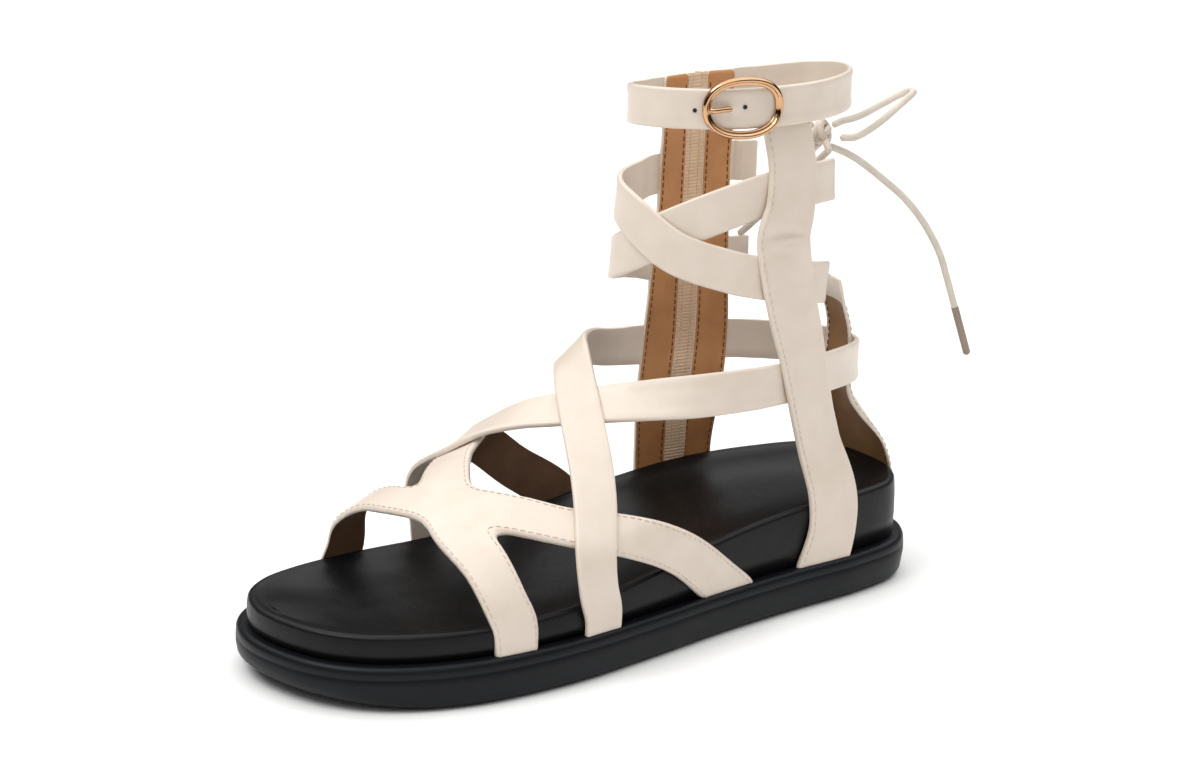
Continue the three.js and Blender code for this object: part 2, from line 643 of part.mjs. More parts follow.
const loopOuter = [
  spot(10.5, 35, 170), spot(8.6, 30, 170.4), spot(7, 21, 171), spot(6.6, 10.5, 174.2), spot(7.9, 3.6, 177.2),
  spot(9.4, 0.8, 178.5), spot(12.3, 1, 179), spot(15.2, 4.2, 178.5), spot(16.6, 8.6, 176.8),
  spot(15.9, 16.2, 171.5), spot(13.7, 22.1, 167), spot(12, 27, 164.7), spot(11.5, 32, 165),
];
const loopInner = [
  spot(0.5, 37.8, 168.2), spot(-12, 32.5, 169.3), spot(-25, 27, 169.8), spot(-35, 22.4, 169.2),
  spot(-39.6, 20.4, 167), spot(-41.2, 19.8, 163.7), spot(-39.6, 20.4, 160.4), spot(-35, 22.4, 158.2),
  spot(-25, 27, 157.6), spot(-12, 32.5, 160.2), spot(-1.2, 36.6, 164.5),
];
const endOuter = [
  spot(8, 34.5, 161.5), spot(9.5, 28, 158.5), spot(11, 22.5, 155), spot(13, 13, 147.5), spot(15, 4, 139.5),
  spot(17, -3.5, 130), spot(19, -9.5, 119), spot(20, -13, 109), spot(21, -16.5, 98),
];
const endInner = [
  spot(2, 35, 161.5), spot(-8, 31, 156), spot(-18, 27, 148), spot(-26, 24, 136), spot(-31, 22, 122),
  spot(-33, 21, 106), spot(-33, 21, 90),
];
const aglet = { radius: 1.4, length: 19 };

// Hard tip that carries a cord's last stretch on in a straight line
function makeAglet(points) {
  const [before, end] = points.slice(-2);
  const along = end.clone().sub(before).normalize();
  const start = end.clone().addScaledVector(along, gap);
  return cord([start, end.clone().addScaledVector(along, aglet.length)], aglet.radius);
}

// Assembly
const finishes = {
  leather: { color: 0xe9e0d5, roughness: 0.45, metalness: 0 },
  rubber: { color: 0x17191f, roughness: 0.6, metalness: 0 },
  footbed: { color: 0x1b1b1e, roughness: 0.5, metalness: 0 },
  lining: { color: 0x9b6b42, roughness: 0.6, metalness: 0 },
  gold: { color: 0xe0b38a, roughness: 0.25, metalness: 1 },
  tape: { color: 0xd9c29c, roughness: 0.8, metalness: 0 },
  cord: { color: 0xddd2c6, roughness: 0.8, metalness: 0 },
  tip: { color: 0xa89488, roughness: 0.5, metalness: 0 },
};
const sandal = new THREE.Group();
function add(name, geometry, finish) {
  const mesh = new THREE.Mesh(geometry, new THREE.MeshStandardMaterial(finishes[finish]));
  mesh.name = name;
  sandal.add(mesh);
  return mesh;
}
add('outsole', outsole, 'rubber');
add('footbed', footbed, 'footbed');
add('upper', upper, 'leather');
add('heel_counter', makeCounter(), 'lining');

add('zip_tape', zipStrip(3 * gap, zipSlot - 2 * gap, tapeThickness, tapeBase), 'tape');
add('zip_teeth', zipStrip(1, 3, teethThickness, zipTeethBase), 'tape');
const sliderPlace = { z: 178, turn: sideTurn(178, 66.5, -1) };
placeOn(add('zip_slider', makeSlider(), 'gold'), sliderPlace.z, sliderPlace.turn, sliderBase);
placeOn(add('zip_pull_tab', makePull(), 'gold'), sliderPlace.z, sliderPlace.turn, sliderBase + pullAxis);

const ring = ovalRing(buckle.halfWidth, buckle.halfHeight, buckle.wire, buckle.square, 8, 28);
placeOn(add('buckle_frame', ring, 'gold'), buckle.z, buckle.turn, collarFace + gap + buckle.wire);
const prong = { length: 6.5, radius: 0.7 };
const prongMesh = new THREE.CapsuleGeometry(prong.radius, prong.length, 3, 8).rotateZ(Math.PI / 2)
  .translate(-buckle.halfWidth + buckle.wire + gap + prong.radius + prong.length / 2, 0, 0);
placeOn(add('buckle_prong', prongMesh, 'gold'), buckle.z, buckle.turn, collarFace + gap + prong.radius);

add('lace_crossings', makeCrossings(), 'cord');
add('lace_lower_run', bar(...lowerRun), 'cord');
add('lace_knot', new THREE.SphereGeometry(1, 12, 8).scale(knotSize.x, knotSize.y, knotSize.z)
  .translate(knotCentre.x, knotCentre.y, knotCentre.z), 'cord');
add('lace_loop_outer', cord(loopOuter), 'cord');
add('lace_loop_inner', cord(loopInner), 'cord');
add('lace_end_outer', cord(endOuter), 'cord');
add('lace_end_inner', cord(endInner), 'cord');
add('aglet_outer', makeAglet(endOuter), 'tip');
add('aglet_inner', makeAglet(endInner), 'tip');

export default sandal;
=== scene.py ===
import functools
import math

import bmesh
import bpy
from mathutils import Matrix, Vector, noise
from mathutils.bvhtree import BVHTree


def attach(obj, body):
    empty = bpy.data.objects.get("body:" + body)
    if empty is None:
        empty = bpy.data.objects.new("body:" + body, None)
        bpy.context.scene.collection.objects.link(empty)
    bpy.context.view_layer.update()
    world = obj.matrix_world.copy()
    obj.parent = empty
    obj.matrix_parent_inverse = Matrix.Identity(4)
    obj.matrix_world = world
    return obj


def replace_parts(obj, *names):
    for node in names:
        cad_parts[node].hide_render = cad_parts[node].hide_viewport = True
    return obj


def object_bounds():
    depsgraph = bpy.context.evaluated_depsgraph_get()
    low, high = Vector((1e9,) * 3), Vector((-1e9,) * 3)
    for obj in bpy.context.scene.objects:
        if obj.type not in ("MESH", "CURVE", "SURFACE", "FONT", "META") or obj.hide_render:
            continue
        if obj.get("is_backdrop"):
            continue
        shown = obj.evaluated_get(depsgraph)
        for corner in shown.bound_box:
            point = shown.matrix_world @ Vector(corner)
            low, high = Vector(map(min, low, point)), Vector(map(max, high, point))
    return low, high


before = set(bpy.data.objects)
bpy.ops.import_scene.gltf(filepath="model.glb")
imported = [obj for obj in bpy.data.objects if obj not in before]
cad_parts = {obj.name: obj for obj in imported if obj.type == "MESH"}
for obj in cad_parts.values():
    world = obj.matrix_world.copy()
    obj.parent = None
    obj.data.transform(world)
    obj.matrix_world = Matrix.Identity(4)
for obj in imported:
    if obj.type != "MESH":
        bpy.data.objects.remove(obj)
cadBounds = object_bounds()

# Left gladiator sandal. Tables hold millimetres, and mm turns them into metres where meshes are made.
mm = 0.001
heelCentre = 36           # from the sole's back edge to the origin
soleLength = 262
outsoleHeight = 16
footbedHeel, footbedToe = 38, 25.5
rimRadius = 1.7
welt = 4.4
gap = 0.3
leather = 1.9
collarTop = 189
panelTop = 185.5            # inner panel and its end of the collar sit lower
cordRadius = 1.3
sliderHeight = 178


def table(columns, *rows):
    names = columns.split()
    return [dict(zip(names, row)) for row in rows]


def clamp(value, low=0.0, high=1.0):
    return max(low, min(high, value))


def lerp(a, b, t):
    return a + (b - a) * t


def smoothstep(value, low, high):
    t = clamp((value - low) / (high - low))
    return t * t * (3 - 2 * t)


def spot(x, ahead, z):
    return Vector((x, heelCentre - ahead, z))


# Smooth value of a table's column at a place between its rows
def between(rows, keyColumn, column, key):
    last = len(rows) - 1
    i = 0
    while i < last - 1 and key > rows[i + 1][keyColumn]:
        i += 1
    a, b = rows[i], rows[i + 1]
    before, after = rows[max(i - 1, 0)], rows[min(i + 2, last)]
    span = b[keyColumn] - a[keyColumn]
    t = clamp((key - a[keyColumn]) / span)
    slopeA = (b[column] - before[column]) / (b[keyColumn] - before[keyColumn])
    slopeB = (after[column] - a[column]) / (after[keyColumn] - a[keyColumn])
    return (a[column] * (1 + 2 * t) * (1 - t) ** 2 + slopeA * span * t * (1 - t) ** 2
            + b[column] * (3 - 2 * t) * t ** 2 - slopeB * span * (1 - t) * t ** 2)


# Smooth curve through points, evenly cut into short steps
def smoothPath(points, step, closed=False):
    points = [Vector(p) for p in points]
    count = len(points)
    dense = []
    for i in range(count if closed else count - 1):
        if closed:
            p0, p1, p2, p3 = [points[(i + k) % count] for k in (-1, 0, 1, 2)]
        else:
            p1, p2 = points[i], points[i + 1]
            p0 = points[i - 1] if i else p1 * 2 - p2
            p3 = points[i + 2] if i + 2 < count else p2 * 2 - p1
        d0, d1, d2 = [max((b - a).length, 1e-9) ** 0.5 for a, b in ((p0, p1), (p1, p2), (p2, p3))]
        m1 = ((p1 - p0) / d0 - (p2 - p0) / (d0 + d1) + (p2 - p1) / d1) * d1
        m2 = ((p2 - p1) / d1 - (p3 - p1) / (d1 + d2) + (p3 - p2) / d2) * d1
        for k in range(24):
            t = k / 24
            dense.append(p1 * (1 + 2 * t) * (1 - t) ** 2 + m1 * t * (1 - t) ** 2
                         + p2 * (3 - 2 * t) * t ** 2 - m2 * (1 - t) * t ** 2)
    dense.append(dense[0] if closed else points[-1])
    lengths = [0.0]
    for a, b in zip(dense, dense[1:]):
        lengths.append(lengths[-1] + (b - a).length)
    steps = max(2, round(lengths[-1] / step))
    result, i = [], 0
    for k in range(steps if closed else steps + 1):
        goal = lengths[-1] * k / steps
        while i < len(dense) - 2 and lengths[i + 1] < goal:
            i += 1
        t = clamp((goal - lengths[i]) / max(lengths[i + 1] - lengths[i], 1e-9))
        result.append(dense[i].lerp(dense[i + 1], t))
    return result


# Outline of the outsole: reach to each side at a distance ahead of its back edge
outlineRows = table(
    "ahead lateral medial",
    (3, 19.5, 17), (14, 32.5, 29.5), (36, 38, 36), (66, 40, 39.5), (100, 43.5, 40.5), (135, 49, 40.5),
    (170, 53, 41.5), (205, 51, 43), (230, 42.5, 41), (246, 31, 36), (257, 14, 26))


@functools.cache
def outline(step=3.0):
    corners = [spot(0, 0, 0), *[spot(r["lateral"], r["ahead"], 0) for r in outlineRows],
               spot(-9, soleLength, 0), *[spot(-r["medial"], r["ahead"], 0) for r in reversed(outlineRows)]]
    return smoothPath(corners, step, closed=True)


@functools.cache
def insetOutline(distance):
    points = outline()
    inset = []
    for i, point in enumerate(points):
        along = (points[(i + 1) % len(points)] - points[i - 1]).normalized()
        inset.append(Vector((point.x + along.y * distance, point.y - along.x * distance, 0)))
    return inset


@functools.cache
def wallSides():
    wall = insetOutline(welt - gap)
    toe = min(range(len(wall)), key=lambda i: wall[i].y)
    lateral = sorted(wall[:toe + 1], key=lambda p: -p.y)
    medial = sorted(wall[toe:] + [wall[0]], key=lambda p: -p.y)
    return lateral, medial


# Reach of the footbed's wall to one side
def wallReach(ahead, side):
    chain = wallSides()[0 if side > 0 else 1]
    y = heelCentre - ahead
    low, high = 0, len(chain) - 2
    while low < high:
        middle = (low + high) // 2
        if chain[middle + 1].y > y:
            low = middle + 1
        else:
            high = middle
    a, b = chain[low], chain[low + 1]
    return lerp(a.x, b.x, clamp((y - a.y) / min(b.y - a.y, -1e-9)))


# The last: level sections through foot and ankle, as in the solids
wallHeel, wallToe = welt - gap, soleLength - welt + gap
lastLevels = table(
    "z heel widest front lateral medial middle nose tail",
    (16, wallHeel, 165, wallToe, 48.7, 37.2, -8, 2.2, 2), (34, wallHeel, 160, 234, 48.7, 37.2, -6, 2.1, 2),
    (46, 5.5, 150, 215, 45, 37.2, -5, 2, 2), (56, 7.5, 135, 189, 38, 36, -5, 2, 2),
    (68, 11, 115, 165, 34, 35, -6, 1.9, 2.1), (82, 15, 100, 142, 31, 34, -7, 1.8, 2.2),
    (98, 20, 85, 122.5, 29, 33, -7, 1.8, 2.2), (120, 22, 72, 115.5, 27, 31.5, -6, 1.9, 2.2),
    (150, 23, 66, 111, 24, 30.5, -5, 2, 2.2), (174, 24, 65, 106, 21, 29, -5, 2.1, 1.9),
    (collarTop, 24, 65, 106, 21, 29, -5, 2.1, 1.8))


@functools.cache
def lastSection(z):
    return {column: between(lastLevels, "z", column, z) for column in lastLevels[0]}


# Point of the last at a height and a turn: 0 outer side, 90 front, 180 inner side, 270 back
def lastPoint(z, turn):
    size = lastSection(z)
    c, s = math.cos(math.radians(turn)), math.sin(math.radians(turn))
    power = 2 / size["nose" if s > 0 else "tail"]
    across, along = abs(c) ** power, abs(s) ** power
    side = size["lateral"] if c > 0 else -size["medial"]
    end = size["front"] if s > 0 else size["heel"]
    ahead = size["widest"] + (end - size["widest"]) * along
    oval = size["middle"] * (1 - across) + side * across
    wallPlace = lerp(wallHeel, wallToe, (ahead - size["heel"]) / (size["front"] - size["heel"]))
    foot = wallReach(wallPlace, c) * (side / wallReach(165, c))
    return spot(lerp(foot, oval, smoothstep(z, 34, 76)), ahead, z)


def lastNormal(z, turn):
    around = lastPoint(z, turn + 2) - lastPoint(z, turn - 2)
    upward = lastPoint(z + 2, turn) - lastPoint(z - 2, turn)
    return upward.cross(around).normalized()


# Turn of the side point at a height and a distance ahead
def sideTurn(z, ahead, side):
    size = lastSection(z)
    front = ahead > size["widest"]
    end = size["front" if front else "heel"]
    share = clamp((ahead - size["widest"]) / (end - size["widest"]))
    lift = math.degrees(math.asin(share ** (size["nose" if front else "tail"] / 2)))
    turn = lift if front else -lift
    return turn if side > 0 else 180 - turn


def linear(hexColour):
    channels = [int(hexColour[i:i + 2], 16) / 255 for i in (1, 3, 5)]
    return tuple(c / 12.92 if c <= 0.04045 else ((c + 0.055) / 1.055) ** 2.4 for c in channels) + (1.0,)


def addNode(material, kind, settings=None, **links):
    node = material.node_tree.nodes.new(kind)
    for key, value in (settings or {}).items():
        if key in node.inputs:
            node.inputs[key].default_value = value
        else:
            setattr(node, key, value)
    for name, source in links.items():
        material.node_tree.links.new(source, node.inputs[name.replace("_", " ")])
    return node


# Plain surface with a grain: rows of (size in mm, depth in mm) pressed in as bumps, colour varied a little
def surface(name, colour, second, roughness, grain, spread=0.5, blotch=9, rough=0.06, metallic=0.0, **more):
    material = bpy.data.materials.new(name)
    material.use_nodes = True
    tree = material.node_tree
    shader = tree.nodes["Principled BSDF"]
    shader.inputs["Roughness"].default_value = roughness
    shader.inputs["Metallic"].default_value = metallic
    for key, value in more.items():
        shader.inputs[key.replace("_", " ")].default_value = value
    place = addNode(material, "ShaderNodeTexCoord").outputs["Object"]
    cloud = addNode(material, "ShaderNodeTexNoise", {"Scale": 1 / (blotch * mm), "Detail": 3.0}, Vector=place)
    mix = addNode(material, "ShaderNodeMix", {"data_type": "RGBA"})
    colours = [s for s in mix.inputs if s.type == "RGBA"]
    colours[0].default_value, colours[1].default_value = linear(colour), linear(second)
    ramp = addNode(material, "ShaderNodeMapRange", {"From Min": 0.5 - spread / 2, "From Max": 0.5 + spread / 2},
                   Value=cloud.outputs["Fac"])
    tree.links.new(ramp.outputs["Result"], mix.inputs["Factor"])
    tree.links.new([s for s in mix.outputs if s.type == "RGBA"][0], shader.inputs["Base Color"])
    vary = addNode(material, "ShaderNodeMapRange", {"To Min": roughness - rough, "To Max": roughness + rough},
                   Value=cloud.outputs["Fac"])
    tree.links.new(vary.outputs["Result"], shader.inputs["Roughness"])
    normal = None
    for kind, size, depth in grain:
        if kind == "ribs":
            pattern = addNode(material, "ShaderNodeTexWave",
                              {"Scale": 0.314 / (size * mm), "bands_direction": "Z"}, Vector=place)
            height = pattern.outputs["Fac"]
        elif kind == "cells":
            pattern = addNode(material, "ShaderNodeTexVoronoi", {"Scale": 1 / (size * mm)}, Vector=place)
            height = pattern.outputs["Distance"]
        else:
            pattern = addNode(material, "ShaderNodeTexNoise", {"Scale": 1 / (size * mm), "Detail": 2.0},
                              Vector=place)
            height = pattern.outputs["Fac"]
        links = {"Height": height}
        if normal:
            links["Normal"] = normal
        normal = addNode(material, "ShaderNodeBump", {"Distance": depth * mm, "Strength": 1.0}, **links)
        normal = normal.outputs["Normal"]
    if normal:
        tree.links.new(normal, shader.inputs["Normal"])
    return material


# Smooth coated leather: fine pores, a soft sheen, barely uneven colour
creamLeather = surface("cream leather", "#e5d7c9", "#decfbf", 0.36, [("noise", 0.5, 0.02), ("noise", 5, 0.12)],
                       Coat_Weight=0.08, Coat_Roughness=0.3)
# Lining leather: matt tan with a visible grain
tanLining = surface("tan lining", "#cb925f", "#bb8351", 0.6, [("cells", 0.7, 0.03), ("noise", 4, 0.1)])
# The same lining in darker copies, under the toe piece and in the heel counter: partly a darker lining, partly
# painted shade of these shaded places
darkLiningAndShade = surface("brown lining and painted shade", "#7a5b42", "#6a4d37", 0.65, [("cells", 0.7, 0.03), ("noise", 4, 0.1)])
heelLiningAndShade = surface("heel lining and painted shade", "#a07850", "#8c6743", 0.62, [("cells", 0.7, 0.03), ("noise", 4, 0.1)])
# Thread: fibres catch light along it. The cream thread is a little darker than the leather, partly its own
# tone, partly painted shade of the needle holes
creamThread = surface("cream thread", "#dccfc0", "#cbbcab", 0.75, [("noise", 0.2, 0.03)])
brownThread = surface("brown thread", "#6d4325", "#5c371d", 0.75, [("noise", 0.2, 0.03)])
# Covered footbed: black, finely pebbled, semi-matt
blackFootbed = surface("black footbed leather", "#0b0b0c", "#080809", 0.4,
                       [("cells", 0.55, 0.03), ("noise", 7, 0.18)], Specular_IOR_Level=0.22)
# Moulded rubber: matt, faint mould texture
blackRubber = surface("black rubber", "#0e1015", "#0b0d10", 0.42, [("noise", 0.35, 0.03), ("noise", 9, 0.08)],
                      Specular_IOR_Level=0.2)
# Plated metal: polished rose gold
roseGold = surface("rose gold plate", "#d3aa84", "#c79b73", 0.09, [("noise", 3, 0.01)], rough=0.04,
                   metallic=1.0)
# Woven tape and nylon coil of the zip
zipFabric = surface("zip tape", "#ecceaf", "#e0bf9c", 0.8, [("ribs", 1.25, 0.16), ("noise", 0.35, 0.05)])
zipNylon = surface("zip coil nylon", "#dcc79f", "#cfb78c", 0.45, [("noise", 0.5, 0.02)])
# Braided cord: small raised strands
creamCord = surface("cream cord", "#e3dace", "#d3c8ba", 0.8, [("cells", 0.55, 0.12)])
taupeTip = surface("taupe tip", "#9d8b7e", "#8d7b6e", 0.45, [("noise", 0.5, 0.02)])
# Dark brown for the collar's punched holes: painted shade standing in for the hole's depth
holeShade = surface("punched hole painted shade", "#2b211b", "#1f1814", 0.8, [])


# A mesh made in millimetres becomes a piece of the model
def finished(name, bm, materials, body="sandal", replaces=(), smooth=True):
    bmesh.ops.recalc_face_normals(bm, faces=bm.faces)
    mesh = bpy.data.meshes.new(name)
    bmesh.ops.scale(bm, verts=bm.verts, vec=(mm, mm, mm))
    bm.to_mesh(mesh)
    bm.free()
    for polygon in mesh.polygons:
        polygon.use_smooth = smooth
    for material in materials:
        mesh.materials.append(material)
    piece = bpy.data.objects.new(name, mesh)
    bpy.context.scene.collection.objects.link(piece)
    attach(piece, body)
    if replaces:
        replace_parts(piece, *replaces)
    return piece


# Rings of equally many points joined into a closed skin; inner[i] marks ring places that face inwards
def loft(bm, rings, inner=(), closedEnds=True, loop=False):
    made = [[bm.verts.new(p) for p in ring] for ring in rings]
    count = len(rings[0])
    pairs = list(zip(made, made[1:])) + ([(made[-1], made[0])] if loop else [])
    for a, b in pairs:
        for i in range(count):
            j = (i + 1) % count
            face = bm.faces.new((a[i], a[j], b[j], b[i]))
            face.material_index = 1 if i in inner else 0
    if closedEnds and not loop:
        bm.faces.new(made[0])
        bm.faces.new(reversed(made[-1]))
    return made


def tubeRings(path, radius, sides=10, taper=True):
    along = [(path[min(i + 1, len(path) - 1)] - path[max(i - 1, 0)]).normalized() for i in range(len(path))]
    across = along[0].orthogonal().normalized()
    rings = []
    for i, point in enumerate(path):
        across = (across - along[i] * across.dot(along[i])).normalized()
        up = along[i].cross(across)
        turns = [2 * math.pi * k / sides for k in range(sides)]
        rings.append([point + (across * math.cos(t) + up * math.sin(t)) * radius for t in turns])
    if taper:
        for end, step in ((0, -1), (-1, 1)):
            centre = path[end]
            tip = [centre + (p - centre) * 0.55 + along[end] * step * radius * 0.5 for p in rings[end]]
            rings = [tip, *rings] if end == 0 else [*rings, tip]
    return rings


# Cross-section of a strap, from its inner left corner round: pairs of (across, out)
def strapSection(width, thickness, sunk=0.0, crown=0.15, inside=0.0):
    outer, lower = min(0.85, thickness * 0.45), min(0.35, thickness * 0.2)
    half = width / 2
    points = []
    for k in range(5):
        a = lerp(-(half - lower), half - lower, k / 4)
        points.append((a, -inside * (0 < k < 4)))
    for k in range(1, 3):
        turn = math.pi / 2 * k / 2
        points.append((half - lower + lower * math.sin(turn), lower - lower * math.cos(turn)))
    for k in range(0, 4):
        turn = math.pi / 2 * k / 4
        points.append((half - outer + outer * math.cos(turn), thickness - outer + outer * math.sin(turn)))
    for k in range(13):
        a = lerp(half - outer, -(half - outer), k / 12)
        rim = 1 - smoothstep(half - abs(a), 2.2, 4.2)
        points.append((a, thickness + crown * (1 - (a / half) ** 2) - sunk * (1 - rim)))
    for k in range(1, 5):
        turn = math.pi / 2 * k / 4
        points.append((-(half - outer) - outer * math.sin(turn), thickness - outer + outer * math.cos(turn)))
    for k in range(0, 2):
        turn = math.pi / 2 * k / 2
        points.append((-(half - lower) - lower * math.cos(turn), lower - lower * math.sin(turn)))
    return points


innerPlaces = range(0, 4)


# Smooth value through evenly spaced knots
def through(values, at):
    last = len(values) - 1
    i = min(int(at), last - 1)
    t = at - i
    p1, p2 = values[i], values[i + 1]
    p0 = values[i - 1] if i else p1 * 2 - p2
    p3 = values[i + 2] if i + 2 <= last else p2 * 2 - p1
    return (p1 * 2 + (p2 - p0) * t + (p0 * 2 - p1 * 5 + p2 * 4 - p3) * t ** 2
            + (p1 * 3 - p0 - p2 * 3 + p3) * t ** 3) * 0.5


# Frames along a strap's route on the last, between two places of its table
def stations(route, samples, side=0, width=15.0, layer=0.0, upright=0.0, lift=0.0, thick=leather, span=None):
    rows = [{"width": width, "layer": layer, "upright": upright, "lift": lift, "thick": thick, **row}
            for row in route]
    for row in rows:
        turn = sideTurn(row["z"], row["ahead"], side) if side else row["turn"]
        row["normal"] = lastNormal(row["z"], turn)
        row["normal"].z *= 1 - row["upright"]
        row["normal"].normalize()
        row["centre"] = (lastPoint(row["z"], turn)
                         + row["normal"] * (row["layer"] * (leather - 0.1) + row["lift"]))
    columns = {key: [row[key] for row in rows] for key in ("centre", "normal", "width", "thick")}
    start, end = span or (0, len(rows) - 1)
    dense = [{key: through(values, lerp(start, end, i / 400)) for key, values in columns.items()}
             for i in range(401)]
    run = [0.0]
    for a, b in zip(dense, dense[1:]):
        run.append(run[-1] + (b["centre"] - a["centre"]).length)
    places, i = [], 0
    for k in range(samples + 1):
        goal = run[-1] * k / samples
        while i < 399 and run[i + 1] < goal:
            i += 1
        t = clamp((goal - run[i]) / max(run[i + 1] - run[i], 1e-9))
        a, b = dense[i], dense[i + 1]
        places.append({**{key: a[key] * (1 - t) + b[key] * t for key in columns}, "run": goal})
    return orient(places)


# Soft troughs with a ridge to each side: at is the place along the route, depth and wide in mm
def creaseDepth(creases, here, across):
    total = 0.0
    for crease in creases:
        share = clamp((across / (here["width"] / 2) - crease["low"]) / (crease["high"] - crease["low"]))
        reach = math.sin(math.pi * share)
        away = (here["z"] - crease["z"] - crease["slant"] * across) / crease["wide"]
        total += crease["depth"] * reach * (math.exp(-away ** 2) - 0.45 * math.exp(-(abs(away) - 1.9) ** 2))
    return total


# Directions of each place from its neighbours
def orient(places):
    for i, here in enumerate(places):
        a, b = places[max(i - 1, 0)]["centre"], places[min(i + 1, len(places) - 1)]["centre"]
        here["along"] = (b - a).normalized()
        here["across"] = here["normal"].cross(here["along"]).normalized()
        here["out"] = here["along"].cross(here["across"]).normalized()
        here["z"] = here["centre"].z
    return places


# Places added close to an end, where its edge turns over
def closeTo(places, atEnd, radius):
    chain = places[::-1] if atEnd else places
    whole = (chain[1]["centre"] - chain[0]["centre"]).length
    extra = []
    for share in (0.03, 0.13, 0.3, 0.55):
        t = min(share * radius / whole, 0.95)
        extra.append({key: chain[0][key] * (1 - t) + chain[1][key] * t for key in chain[0]})
    chain = [chain[0], *extra, *chain[1:]]
    return chain[::-1] if atEnd else chain


# bow drops both edges, rounded gives the radius of the turned-over start and end
def strapMesh(bm, places, sunk=0.0, crown=0.15, inside=0.0, creases=(), bow=0.0, wave=0.12, rounded=(0, 0)):
    for atEnd, radius in enumerate(rounded):
        if radius:
            places = closeTo(places, atEnd, radius)
    rings = []
    for here in places:
        squeeze, trim = 1.0, 0.0
        for end, radius in zip((places[0], places[-1]), rounded):
            away = (here["centre"] - end["centre"]).length
            if away < radius:
                share = math.sqrt(max(1 - (1 - away / radius) ** 2, 0))
                squeeze, trim = max(share, 0.12), radius * (1 - share)
        ring = []
        half = here["width"] / 2
        for across, out in strapSection(here["width"], here["thick"], sunk, crown, inside):
            share = across / half
            point = here["centre"] + here["across"] * across * (1 - trim * 0.6 / half)
            out = lerp(here["thick"] / 2, out, squeeze)
            level = clamp(out / here["thick"])
            out += noise.noise(point * 0.07) * wave - bow * share ** 2
            out -= creaseDepth(creases, here, across) * lerp(0.3, 1, level)
            ring.append(point + here["out"] * out)
        rings.append(ring)
    loft(bm, rings, innerPlaces)
    return bm


def strapPiece(name, places, materials, **more):
    return finished(name, strapMesh(bmesh.new(), places, **more), materials)


# Rows of stitches. Each is a short thread that dips into the leather at both ends
threads = {"cream": bmesh.new(), "brown": bmesh.new()}
stitchPitch, stitchLength, threadRadius = 2.7, 2.0, 0.24


def sew(piece, line, outs, thread, pitch=stitchPitch):
    mesh = piece.data
    skin = BVHTree.FromPolygons([v.co / mm for v in mesh.vertices], [p.vertices[:] for p in mesh.polygons])
    run = [0.0]
    for a, b in zip(line, line[1:]):
        run.append(run[-1] + (b - a).length)

    def onSkin(goal):
        i = max(k for k in range(len(run)) if run[k] <= goal)
        i = min(i, len(line) - 2)
        t = clamp((goal - run[i]) / max(run[i + 1] - run[i], 1e-9))
        point, out = line[i].lerp(line[i + 1], t), outs[i].lerp(outs[i + 1], t).normalized()
        hit = skin.ray_cast(point + out * 4, -out, 8)[0]
        return hit, out

    for k in range(int(run[-1] / pitch)):
        start = (k + 0.2) * pitch
        path = []
        for share in (0, 0.2, 0.5, 0.8, 1):
            hit, out = onSkin(start + share * stitchLength * pitch / stitchPitch)
            if hit is None:
                break
            path.append(hit + out * lerp(-0.25, 0.12, math.sin(math.pi * share) ** 0.5))
        if len(path) == 5 and (path[-1] - path[0]).length < 1.6 * stitchLength:
            loft(threads[thread], tubeRings(path, threadRadius, 6, taper=False))


# Stitches along a strap, some way across it, on its outer or inner face
def sewStrap(piece, places, across, thread, inner=False, pitch=stitchPitch):
    side = -1 if inner else 1
    level = 0 if inner else 1
    reach = [across(here) if callable(across) else across for here in places]
    line = [here["centre"] + here["across"] * a + here["out"] * here["thick"] * level
            for here, a in zip(places, reach)]
    sew(piece, line, [here["out"] * side for here in places], thread, pitch)


camera = bpy.data.objects.new("camera", bpy.data.cameras.new("camera"))
bpy.context.scene.collection.objects.link(camera)
right = Vector((0.51297, 0.85841, -0.00016))
back = right.cross(Vector((-0.24322, 0.14552, 0.95899))).normalized()
up = back.cross(right).normalized()
aim = Matrix((right, up, back)).transposed().to_4x4()
camera.matrix_world = Matrix.Translation((0.67433, -0.53389, 0.33519)) @ aim
camera.data.sensor_width = 36
camera.data.lens = 72.2
camera.data.shift_x, camera.data.shift_y = 0.0823, -0.0271
camera.data.clip_start, camera.data.clip_end = 0.05, 20
bpy.context.scene.camera = camera
print("camera placed")

knotCentre = spot(9.5, 39.8, 167.5)
loopOuter = [spot(*p) for p in (
    (10.5, 35, 170), (8.6, 30, 170.4), (7, 21, 171), (6.6, 10.5, 174.2), (7.9, 3.6, 177.2),
    (9.4, 0.8, 178.5), (12.3, 1, 179), (15.2, 4.2, 178.5), (16.6, 8.6, 176.8), (15.9, 16.2, 171.5),
    (13.7, 22.1, 167), (12, 27, 164.7), (11.5, 32, 165))]
loopInner = [spot(*p) for p in (
    (0.5, 37.8, 168.2), (-12, 32.5, 169.3), (-25, 27, 169.8), (-35, 22.4, 169.2), (-39.6, 20.4, 167),
    (-41.2, 19.8, 163.7), (-39.6, 20.4, 160.4), (-35, 22.4, 158.2), (-25, 27, 157.6), (-12, 32.5, 160.2),
    (-1.2, 36.6, 164.5))]
endOuter = [spot(*p) for p in (
    (8, 34.5, 161.5), (9.5, 28, 158.5), (11, 22.5, 155), (13, 13, 147.5), (15, 4, 139.5), (17, -3.5, 130),
    (19, -9.5, 119), (20, -13, 109), (21, -16.5, 98))]
endInner = [spot(*p) for p in (
    (2, 35, 161.5), (-8, 31, 156), (-18, 27, 148), (-26, 24, 136), (-31, 22, 122), (-33, 21, 106),
    (-33, 21, 90))]


